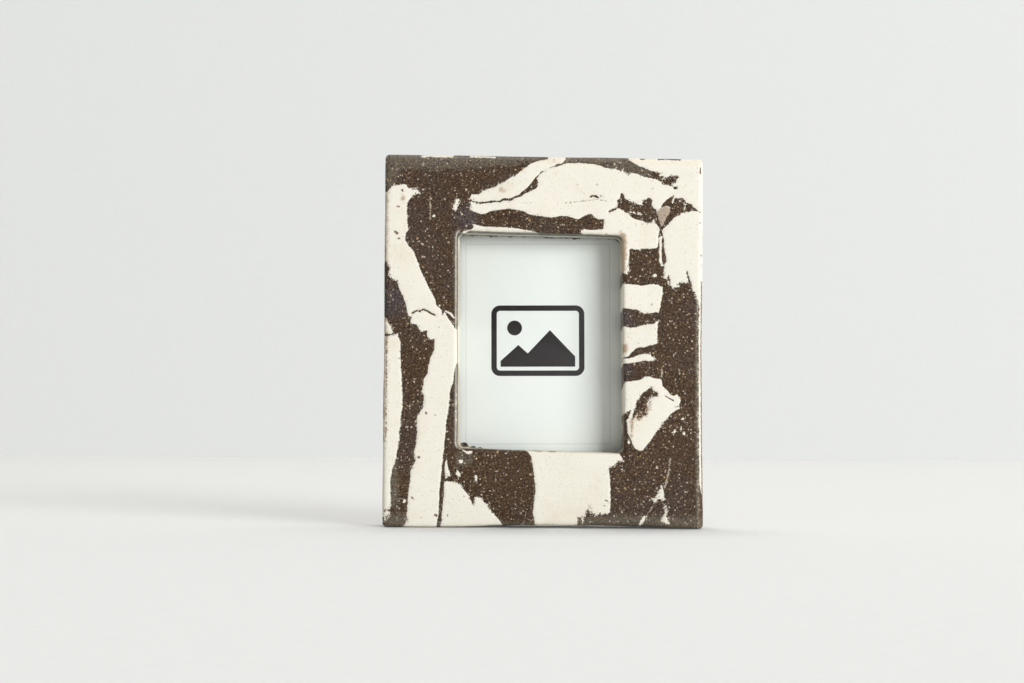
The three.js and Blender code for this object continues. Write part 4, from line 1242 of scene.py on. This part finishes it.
def window_walls(places, normals):
    """Shares of each look of the window's walls.

    They are smeared by the cut and torn at the top. The hollow behind the left lip, the tear and the top wall
    get painted shade, and the arrises get painted highlights.
    """
    low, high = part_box("glazing_pane")
    inside = (places[:, 0] > low.x) & (places[:, 0] < high.x) & (places[:, 1] < low.y)
    inside = inside & (places[:, 2] > low.z) & (places[:, 2] < high.z)
    depth = (places[:, 1] - cad_low.y) / MM

    def facing(axis, sign):
        """1 on walls that look along an axis."""
        return inside * np.clip(2 * sign * normals[:, axis], 0, 1)

    def behind(start, width, strength):
        """Rises behind a depth."""
        return strength * ramp(depth, start, width)

    def line(middle, width, strength):
        """Strongest at a depth, falling to 0 on both sides of it."""
        return np.clip(strength - np.abs(depth - middle) / width, 0, 1)

    left = facing(0, 1)
    right = facing(0, -1)
    top = facing(2, -1)
    sill = facing(2, 1)
    torn = top * behind(*TOP_TEAR)
    smears = (left * behind(*LEFT_SMEAR), right * behind(*RIGHT_SMEAR), sill * behind(*SILL_SMEAR))
    return {
        "smeared": np.max(smears, axis=0),
        # Painted shade on the window's top wall, which faces down.
        "top_wall_shade": top * behind(*TOP_SHADE),
        # Painted shade: a dark line in the hollow behind the left lip and along the top tear.
        "hollow": np.maximum(left * line(*LEFT_HOLLOW_SHADE), 0.8 * torn),
        # Painted highlights: cream lines on the arrises of the window's walls.
        "arris_highlight": np.maximum(left * line(*LEFT_ARRIS_HIGHLIGHT), top * line(*TOP_ARRIS_HIGHLIGHT)),
        "torn": torn,
    }


class Surface:
    """The clay body's vertices: where they are, and what comes to the surface there."""

    def __init__(self, piece, stage):
        self.places = vertex_vectors(piece)
        self.normals = vertex_vectors(piece, "normal")
        self.rim = np.clip((1 - np.abs(self.normals).max(axis=1)) * 3.4, 0, 1)
        self.from_right = (cad_high.x - self.places[:, 0]) / MM
        self.points = on_the_face(self.places, stage)
        self.band = cream_depth(self.points)
        self.crumb = crumb_share(self.places)
        self.walls = window_walls(self.places, self.normals)


class PHOTO_FRAME_OT_clay_body(bpy.types.Operator):
    """Makes the clay body: a fine mesh on the CAD shape, worked by hand and marbled"""

    bl_idname = "photo_frame.clay_body"
    bl_label = "Clay Body"

    def execute(self, context):
        clay = context.scene.frame_clay
        stage = context.scene.frame_stage
        piece = merged_copy("ceramic_frame", "clay_body")
        self.add_crumbs()
        apply_modifier(piece, "REMESH", mode="VOXEL", voxel_size=clay.mesh_step)
        apply_modifier(piece, "SMOOTH", factor=0.5, iterations=3)
        self.thin_out(piece, clay)
        self.refine(piece, clay, stage)
        surface = Surface(piece, stage)
        self.work_by_hand(piece, clay, surface)
        self.keep_looks(piece, surface)
        make_active(piece)
        bpy.ops.object.shade_smooth()
        hand_over(piece, "ceramic_frame", clay_finish(clay))
        return {"FINISHED"}

    def add_crumbs(self):
        """Lumps of clay left in the corners of the window. The remesh joins them to the body."""
        with editing():
            for x, depth, z, radius in PALE_CRUMBS + DARK_CRUMBS:
                bpy.ops.mesh.primitive_ico_sphere_add(
                    subdivisions=3, radius=radius * MM, location=crumb_middle(x, depth, z)
                )

    def thin_out(self, piece, clay):
        """Fewer triangles on the back half, which has no fine marks."""
        with editing():
            pick(piece, "FACE", lambda face: face.calc_center_median().y > cad_low.y + clay.fine_depth)
            bpy.ops.mesh.decimate(ratio=clay.back_share)

    def refine(self, piece, clay, stage):
        """Halves the mesh along the band edges and at the small marks of the front."""
        places = vertex_vectors(piece)
        points = on_the_face(places, stage)
        marks = deepest(points, BROWN_MARKS + PALE_MARKS, stroke_depth)
        near = (np.abs(cream_depth(points)) < FINE_BY_BAND) | (marks > -FINE_BY_MARK)
        near &= places[:, 1] < cad_low.y + clay.fine_depth
        with editing():
            pick(piece, "FACE", lambda face: any(near[vertex.index] for vertex in face.verts))
            bpy.ops.mesh.subdivide(number_cuts=1)

    def work_by_hand(self, piece, clay, surface):
        """Presses hollows, nicks and seams into the clay, tears the window's top wall and sags the base."""
        places = surface.places
        plain_start = cad_high.y - clay.plain_back - clay.plain_fade
        worked = 1 - ramp(places[:, 1], plain_start, clay.plain_fade)
        lumps = np.clip(0.5 + 0.8 * clouds(places, clay.lump_width, seed=3.1), 0, 1)
        nicks = np.clip(clouds(places, clay.nick_width, seed=8.4) - 0.25, 0, 1) * surface.rim
        seam = 1 - ramp(np.abs(surface.band) * MM, 0, clay.seam_width)
        rough = clouds(places, clay.crumb_width, seed=5.7) * surface.crumb
        inward = lumps * clay.lump_height + nicks * clay.nick_depth
        inward += seam * clay.seam_depth + rough * clay.crumb_depth
        hollow = np.interp(places[:, 2] / MM, *zip(*RIGHT_HOLLOW)) * MM
        by_right_side = 1 - ramp(surface.from_right * MM, 0, clay.hollow_width)
        torn = np.clip(clouds(places, clay.tear_width, seed=2.2), 0, 1) * surface.walls["torn"]

        places = places - surface.normals * (worked * inward)[:, None]
        places[:, 0] -= hollow * by_right_side ** 2
        places[:, 2] -= torn * clay.tear_depth
        under = 1 - ramp(places[:, 2] / MM, *SAG_UP)
        behind = ramp((places[:, 1] - cad_low.y) / MM, *SAG_BACK)
        places[:, 2] *= 1 - clay.sag * under * behind
        surface.places = np.clip(places, np.array(cad_low), np.array(cad_high))
        piece.data.vertices.foreach_set("co", surface.places.ravel())
        piece.data.update()

    def keep_looks(self, piece, surface):
        """Stores how much of each look there is at each vertex."""
        points = surface.points
        height = points[:, 1]
        crumb = surface.crumb
        from_right = surface.from_right
        from_left = (surface.places[:, 0] - cad_low.x) / MM

        def side_line(from_side, middle, half_width, shown=True):
            """How deep a vertex lies inside a line along a side."""
            return np.where(shown, half_width - np.abs(from_side - middle), -FAR_FROM_MARK)

        strip = np.interp(height, *zip(*RIGHT_STRIP)) - from_right
        band = np.maximum(surface.band, strip)
        # Wear along the left edge, and painted shade where the edge turns away from the key light.
        rubbed_and_shaded = np.where(height > LEFT_RUB_AND_SHADE_LOW, 0.6 - 0.55 * from_left, -FAR_FROM_MARK)
        on_left_wear = (height > LEFT_WEAR_LOW) & (height < LEFT_WEAR_TOP)
        brown_marks = (
            deepest(points, BROWN_MARKS, stroke_depth),
            side_line(from_right, *RIGHT_WEAR, height < RIGHT_WEAR_TOP),
            side_line(from_left, *LEFT_WEAR, on_left_wear),
        )
        scratches = deepest(points, PALE_MARKS, stroke_depth)
        # Zones where the dark clay gets painted sheen.
        skin = deepest(points, OLIVE_ZONES, outline_depth)
        looks = {
            # Painted shade: the dark crumbs are set to dark clay and darkened further.
            "cream_depth": np.minimum(band, FAR_FROM_BAND * (1 - 2 * crumb)),
            "rim": surface.rim,
            "cut_face": surface.walls["smeared"] * (1 - crumb),
            # Painted shade on the window's top wall.
            "top_wall_shade": surface.walls["top_wall_shade"],
            "hollow": np.maximum(surface.walls["hollow"], 0.6 * crumb),
            # Painted highlights on the arrises of the window's walls.
            "arris_highlight": surface.walls["arris_highlight"] * (1 - crumb),
            "ragged": in_spots(points, RAGGED_SPOTS),
            "cool": in_spots(points, COOL_SPOTS),
            # Painted sheen in the zones and along the right side.
            "olive_sheen": np.maximum(skin, 2 * side_line(from_right, *RIGHT_SHEEN)),
            "grey_patch": deepest(points, [GREY_PATCH], outline_depth),
            # Dragged slip, with painted shade on the lip at the window's top-right corner and along the left
            # edge.
            "smear_and_shade": np.maximum(deepest(points, SMEARS, outline_depth), rubbed_and_shaded),
            "brown_mark": np.max(brown_marks, axis=0),
            "pale_mark": np.maximum(scratches, side_line(from_right, *RIGHT_PALE_LINE)),
        }
        for name, values in looks.items():
            keep_values(piece, name, values)


class PHOTO_FRAME_OT_pane(bpy.types.Operator):
    """Makes the clear pane with ground edges"""

    bl_idname = "photo_frame.pane"
    bl_label = "Pane"

    def execute(self, context):
        piece = merged_copy("glazing_pane", "pane")
        soften(piece, context.scene.frame_fittings.pane_edge, 2)
        hand_over(piece, "glazing_pane", pane_finish())
        return {"FINISHED"}


class PHOTO_FRAME_OT_print(bpy.types.Operator):
    """Makes the print, turned a little in its pocket"""

    bl_idname = "photo_frame.print"
    bl_label = "Print"

    def execute(self, context):
        card = context.scene.frame_print
        low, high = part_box("photo_print")
        middle = (low + high) / 2
        piece = merged_copy("photo_print", "print")
        soften(piece, card.card_edge, 2)
        keep_own_place(piece, middle)
        make_active(piece)
        with editing():
            bpy.ops.mesh.select_all(action="SELECT")
            bpy.ops.transform.rotate(value=card.tilt, orient_axis="Y", center_override=middle)
        hand_over(piece, "photo_print", card_finish(card))
        return {"FINISHED"}


class PHOTO_FRAME_OT_board(bpy.types.Operator):
    """Makes the plywood board with its thumb notch"""

    bl_idname = "photo_frame.board"
    bl_label = "Board"

    def execute(self, context):
        fitting = context.scene.frame_fittings
        piece = merged_copy("backing_board", "board")
        soften(piece, fitting.board_edge, 2)
        hand_over(piece, "backing_board", plywood_finish(fitting))
        return {"FINISHED"}


class PHOTO_FRAME_OT_buttons(bpy.types.Operator):
    """Makes the four brass turn buttons"""

    bl_idname = "photo_frame.buttons"
    bl_label = "Turn Buttons"

    def execute(self, context):
        fitting = context.scene.frame_fittings
        pivot = pivot_at("upper_left")
        low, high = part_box("turn_button_upper_left")
        thickness = high.y - low.y
        hub = pivot.x - low.x
        screw_low, screw_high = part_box("pivot_screw_upper_left")
        hole = fitting.button_hole * (screw_high.x - screw_low.x) / 2
        tip = fitting.button_tip * hub
        reach = high.x - pivot.x - tip
        model = new_rod("button_model", hub, thickness, sides=72)
        with editing():
            bpy.ops.mesh.primitive_cylinder_add(
                vertices=48, radius=tip, depth=thickness, location=(reach, 0, 0), rotation=QUARTER_TURN
            )
            bpy.ops.mesh.select_all(action="SELECT")
            bpy.ops.mesh.convex_hull()
            bpy.ops.mesh.dissolve_limited(angle_limit=FLAT_ANGLE)
        cut(model, new_rod("button_hole", hole, 3 * thickness, sides=48))
        soften(model, fitting.metal_edge)

        def turn_of(corner):
            return math.pi if corner.endswith("right") else 0.0

        copies_at_corners(
            model, "button", "turn_button", brass_finish("brass", fitting, False), pivot_at, turn_of
        )
        return {"FINISHED"}


class PHOTO_FRAME_OT_screws(bpy.types.Operator):
    """Makes the four slotted pan-head screws"""

    bl_idname = "photo_frame.screws"
    bl_label = "Pivot Screws"

    def execute(self, context):
        fitting = context.scene.frame_fittings
        low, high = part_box("pivot_screw_upper_left")
        middle_y = pivot_at("upper_left").y
        button_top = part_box("turn_button_upper_left")[1].y
        head = (high.x - low.x) / 2
        shank = head / 2
        head_low = button_top + fitting.head_gap - middle_y
        head_high = high.y - middle_y
        foot = low.y - middle_y
        model = new_rod("screw_model", shank, head_low - foot, (head_low + foot) / 2)
        with editing():
            pick(model, "FACE", faces_along(1, 1))
            bpy.ops.mesh.extrude_region_move(TRANSFORM_OT_translate={"value": (0, 0, 0)})
            grow = head / shank
            bpy.ops.transform.resize(value=(grow, 1, grow), center_override=(0, head_low, 0))
            bpy.ops.mesh.extrude_region_move(TRANSFORM_OT_translate={"value": (0, head_high - head_low, 0)})
            bpy.ops.mesh.remove_doubles(threshold=MERGE_GAP)
            pick(model, "EDGE", lambda edge: all(v.co.y > head_high - END_GAP for v in edge.verts))
            bpy.ops.mesh.bevel(offset=fitting.head_round, segments=6, affect="EDGES")
            pick(model, "EDGE", lambda edge: all(v.co.y < foot + END_GAP for v in edge.verts))
            bpy.ops.mesh.bevel(offset=fitting.foot_bevel, segments=2, affect="EDGES")
        slot = (3 * head, 2 * fitting.slot_depth, fitting.slot_width)
        bpy.ops.mesh.primitive_cube_add(size=1, location=(0, head_high, 0), scale=slot)
        cut(model, named("screw_slot"))
        soften(model, fitting.screw_edge, 2)
        copies_at_corners(model, "screw", "pivot_screw", brass_finish("screw_brass", fitting, True), pivot_at)
        return {"FINISHED"}


class PHOTO_FRAME_OT_washers(bpy.types.Operator):
    """Makes the four nylon washers"""

    bl_idname = "photo_frame.washers"
    bl_label = "Pivot Washers"

    def execute(self, context):
        fitting = context.scene.frame_fittings
        low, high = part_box("pivot_washer_upper_left")
        radius = (high.x - low.x) / 2
        model = new_rod("washer_model", radius, high.y - low.y)
        with editing():
            pick(model, "FACE", lambda face: abs(face.normal.y) > 0.9)
            bpy.ops.mesh.inset(thickness=radius * (1 - fitting.washer_bore))
            bpy.ops.mesh.bridge_edge_loops()
        soften(model, fitting.washer_edge, 2)

        def middle_of(corner):
            washer_low, washer_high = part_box(f"pivot_washer_{corner}")
            return (washer_low + washer_high) / 2

        copies_at_corners(model, "washer", "pivot_washer", nylon_finish(fitting), middle_of)
        return {"FINISHED"}


class PHOTO_FRAME_OT_inserts(bpy.types.Operator):
    """Gives the threaded inserts, set in the clay, their brass"""

    bl_idname = "photo_frame.inserts"
    bl_label = "Threaded Inserts"

    def execute(self, context):
        finish = new_finish("insert_brass")
        fitting = context.scene.frame_fittings
        film = finish.cloud(finish.place(), 1.5 * MM, 4.0, 0.6)
        colour = finish.mix(film.rise(-0.1, 0.3), fitting.brass, fitting.tarnish)
        finish.surface(Base_Color=colour, Metallic=1.0, Roughness=0.38 + film * 0.2)
        for corner in CORNERS:
            node = frame["nodes"][f"threaded_insert_{corner}"]
            node.material_slots[0].link = "OBJECT"
            node.material_slots[0].material = finish.owner
        return {"FINISHED"}


class PHOTO_FRAME_OT_pads(bpy.types.Operator):
    """Makes the four soft bumper pads"""

    bl_idname = "photo_frame.pads"
    bl_label = "Bumper Pads"

    def execute(self, context):
        fitting = context.scene.frame_fittings
        low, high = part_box("bumper_pad_upper_left")
        radius = (high.x - low.x) / 2
        height = high.y - low.y
        wall = fitting.pad_wall * height
        tip = fitting.pad_tip * radius
        steps = 10
        model = new_rod("pad_model", radius, wall, wall / 2)
        last_radius = radius
        last_height = wall
        with editing():
            pick(model, "FACE", faces_along(1, 1))
            for step in range(1, steps + 1):
                angle = step / steps * math.pi / 2
                next_radius = tip + (radius - tip) * math.cos(angle)
                next_height = wall + (height - wall) * math.sin(angle)
                rise = (0, next_height - last_height, 0)
                bpy.ops.mesh.extrude_region_move(TRANSFORM_OT_translate={"value": rise})
                grow = next_radius / last_radius
                bpy.ops.transform.resize(value=(grow, 1, grow), center_override=(0, next_height, 0))
                last_radius = next_radius
                last_height = next_height
        bpy.ops.object.shade_smooth_by_angle(angle=SHARP_ANGLE)

        def middle_of(corner):
            pad_low, pad_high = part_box(f"bumper_pad_{corner}")
            return Vector(((pad_low.x + pad_high.x) / 2, pad_low.y, (pad_low.z + pad_high.z) / 2))

        copies_at_corners(model, "pad", "bumper_pad", rubber_finish(fitting), middle_of)
        return {"FINISHED"}


class PHOTO_FRAME_OT_stage(bpy.types.Operator):
    """Sets up floor, backdrop, lights and camera"""

    bl_idname = "photo_frame.stage"
    bl_label = "Stage"

    def execute(self, context):
        stage = context.scene.frame_stage
        front = cad_low.y
        context.scene.view_settings.view_transform = "Standard"
        size = stage.board_size
        wall_y = front + stage.wall_distance
        bpy.ops.object.select_all(action="DESELECT")
        bpy.ops.mesh.primitive_plane_add(size=size, location=(0, wall_y - size / 2, -stage.floor_drop))
        floor = named("floor")
        bpy.ops.mesh.primitive_plane_add(
            size=size, location=(0, wall_y, size / 2 - stage.floor_drop), rotation=QUARTER_TURN
        )
        wall = named("backdrop")
        boards = ((floor, stage.floor, stage.floor_glow), (wall, stage.wall, stage.wall_glow))
        for plane, colour, glow_share in boards:
            make_active(plane)
            apply_place()
            plane.data.materials.append(stage_finish(plane.name, stage, colour, glow_share).owner)

        middle = (cad_low + cad_high) / 2
        towards_key = Vector(stage.key_direction).normalized()
        key_place = middle + towards_key * stage.key_distance
        key = self.add_light("key_light", key_place, stage.key_width, stage.key_height, stage.key_power)
        key.rotation_euler = towards_key.to_track_quat("Z", "Y").to_euler()
        above = (middle.x, front + stage.top_depth / 2, stage.top_height)
        self.add_light("top_light", above, stage.top_width, stage.top_depth, stage.top_power)
        self.light_room(context.scene, stage)
        self.place_camera(context.scene, stage, front)
        return {"FINISHED"}

    def add_light(self, name, place, width, height, power):
        """A soft light that the camera doesn't see. It shines straight down until it is turned."""
        bpy.ops.object.light_add(type="AREA", location=place)
        light = named(name)
        light.data.shape = "RECTANGLE"
        light.data.size = width
        light.data.size_y = height
        light.data.energy = power
        light.visible_camera = False
        return light

    def light_room(self, scene, stage):
        """Pale room: lighter above and behind the frame than in front of it."""
        scene.world = bpy.data.worlds.new("room")
        room = Finish(scene.world)
        _, behind, above = room.split(room.node("ShaderNodeTexCoord", output="Generated"))
        level = stage.room_level + stage.room_behind * behind + stage.room_above * above
        ambient = room.node("ShaderNodeBackground", None, {"Color": stage.room, "Strength": level})
        mirrored = (behind + above * 0.6).rise(-0.6, 1.0) * 0.75 + 0.12
        camera = room.node("ShaderNodeLightPath", None, None, "Is Camera Ray")
        shown_level = mirrored.most(camera * stage.room_shown)
        shown = room.node("ShaderNodeBackground", None, {"Color": stage.room, "Strength": shown_level})
        both = room.node("ShaderNodeMixShader", None, {0: room.seen_rays(), 1: ambient, 2: shown})
        room.node("ShaderNodeOutputWorld", None, {"Surface": both})

    def place_camera(self, scene, stage, front):
        """The camera looks at the front face, a little from below."""
        aim = Vector((stage.aim_x, front, stage.aim_z))
        back = Vector((0, -math.cos(stage.camera_pitch), -math.sin(stage.camera_pitch)))
        bpy.ops.object.camera_add(location=aim + back * stage.camera_distance)
        camera = named("camera")
        look = Matrix.Rotation(math.pi / 2 + stage.camera_pitch, 3, "X")
        camera.rotation_euler = (look @ Matrix.Rotation(stage.camera_roll, 3, "Z")).to_euler()
        camera.data.sensor_width = 36
        camera.data.lens = stage.focal
        camera.data.clip_start = 0.01
        camera.data.clip_end = 20
        scene.camera = camera


class PHOTO_FRAME_PT_panel(bpy.types.Panel):
    """Lists the frame's operators and settings"""

    bl_idname = "PHOTO_FRAME_PT_panel"
    bl_label = "Photo Frame"
    bl_space_type = "VIEW_3D"
    bl_region_type = "UI"
    bl_category = "Photo Frame"

    def draw(self, context):
        for operator in OPERATORS:
            self.layout.operator(operator.bl_idname)
        for group in SETTINGS:
            settings = getattr(context.scene, group)
            box = self.layout.box()
            for name in settings.bl_rna.properties.keys():
                if name not in ("rna_type", "name"):
                    box.prop(settings, name)


SETTINGS = {
    "frame_clay": ClaySettings,
    "frame_print": PrintSettings,
    "frame_fittings": FittingSettings,
    "frame_stage": StageSettings,
}
OPERATORS = (
    PHOTO_FRAME_OT_clay_body,
    PHOTO_FRAME_OT_pane,
    PHOTO_FRAME_OT_print,
    PHOTO_FRAME_OT_board,
    PHOTO_FRAME_OT_buttons,
    PHOTO_FRAME_OT_screws,
    PHOTO_FRAME_OT_washers,
    PHOTO_FRAME_OT_inserts,
    PHOTO_FRAME_OT_pads,
    PHOTO_FRAME_OT_stage,
)


def register():
    for group in (*SETTINGS.values(), *OPERATORS, PHOTO_FRAME_PT_panel):
        bpy.utils.register_class(group)
    for name, group in SETTINGS.items():
        setattr(bpy.types.Scene, name, PointerProperty(type=group))


def unregister():
    for name in SETTINGS:
        delattr(bpy.types.Scene, name)
    for group in reversed((*SETTINGS.values(), *OPERATORS, PHOTO_FRAME_PT_panel)):
        bpy.utils.unregister_class(group)


def main():
    register()
    bpy.ops.photo_frame.stage()
    bpy.ops.photo_frame.clay_body()
    bpy.ops.photo_frame.pane()
    bpy.ops.photo_frame.print()
    bpy.ops.photo_frame.board()
    bpy.ops.photo_frame.buttons()
    bpy.ops.photo_frame.screws()
    bpy.ops.photo_frame.washers()
    bpy.ops.photo_frame.inserts()
    bpy.ops.photo_frame.pads()


if __name__ == "__main__":
    main()
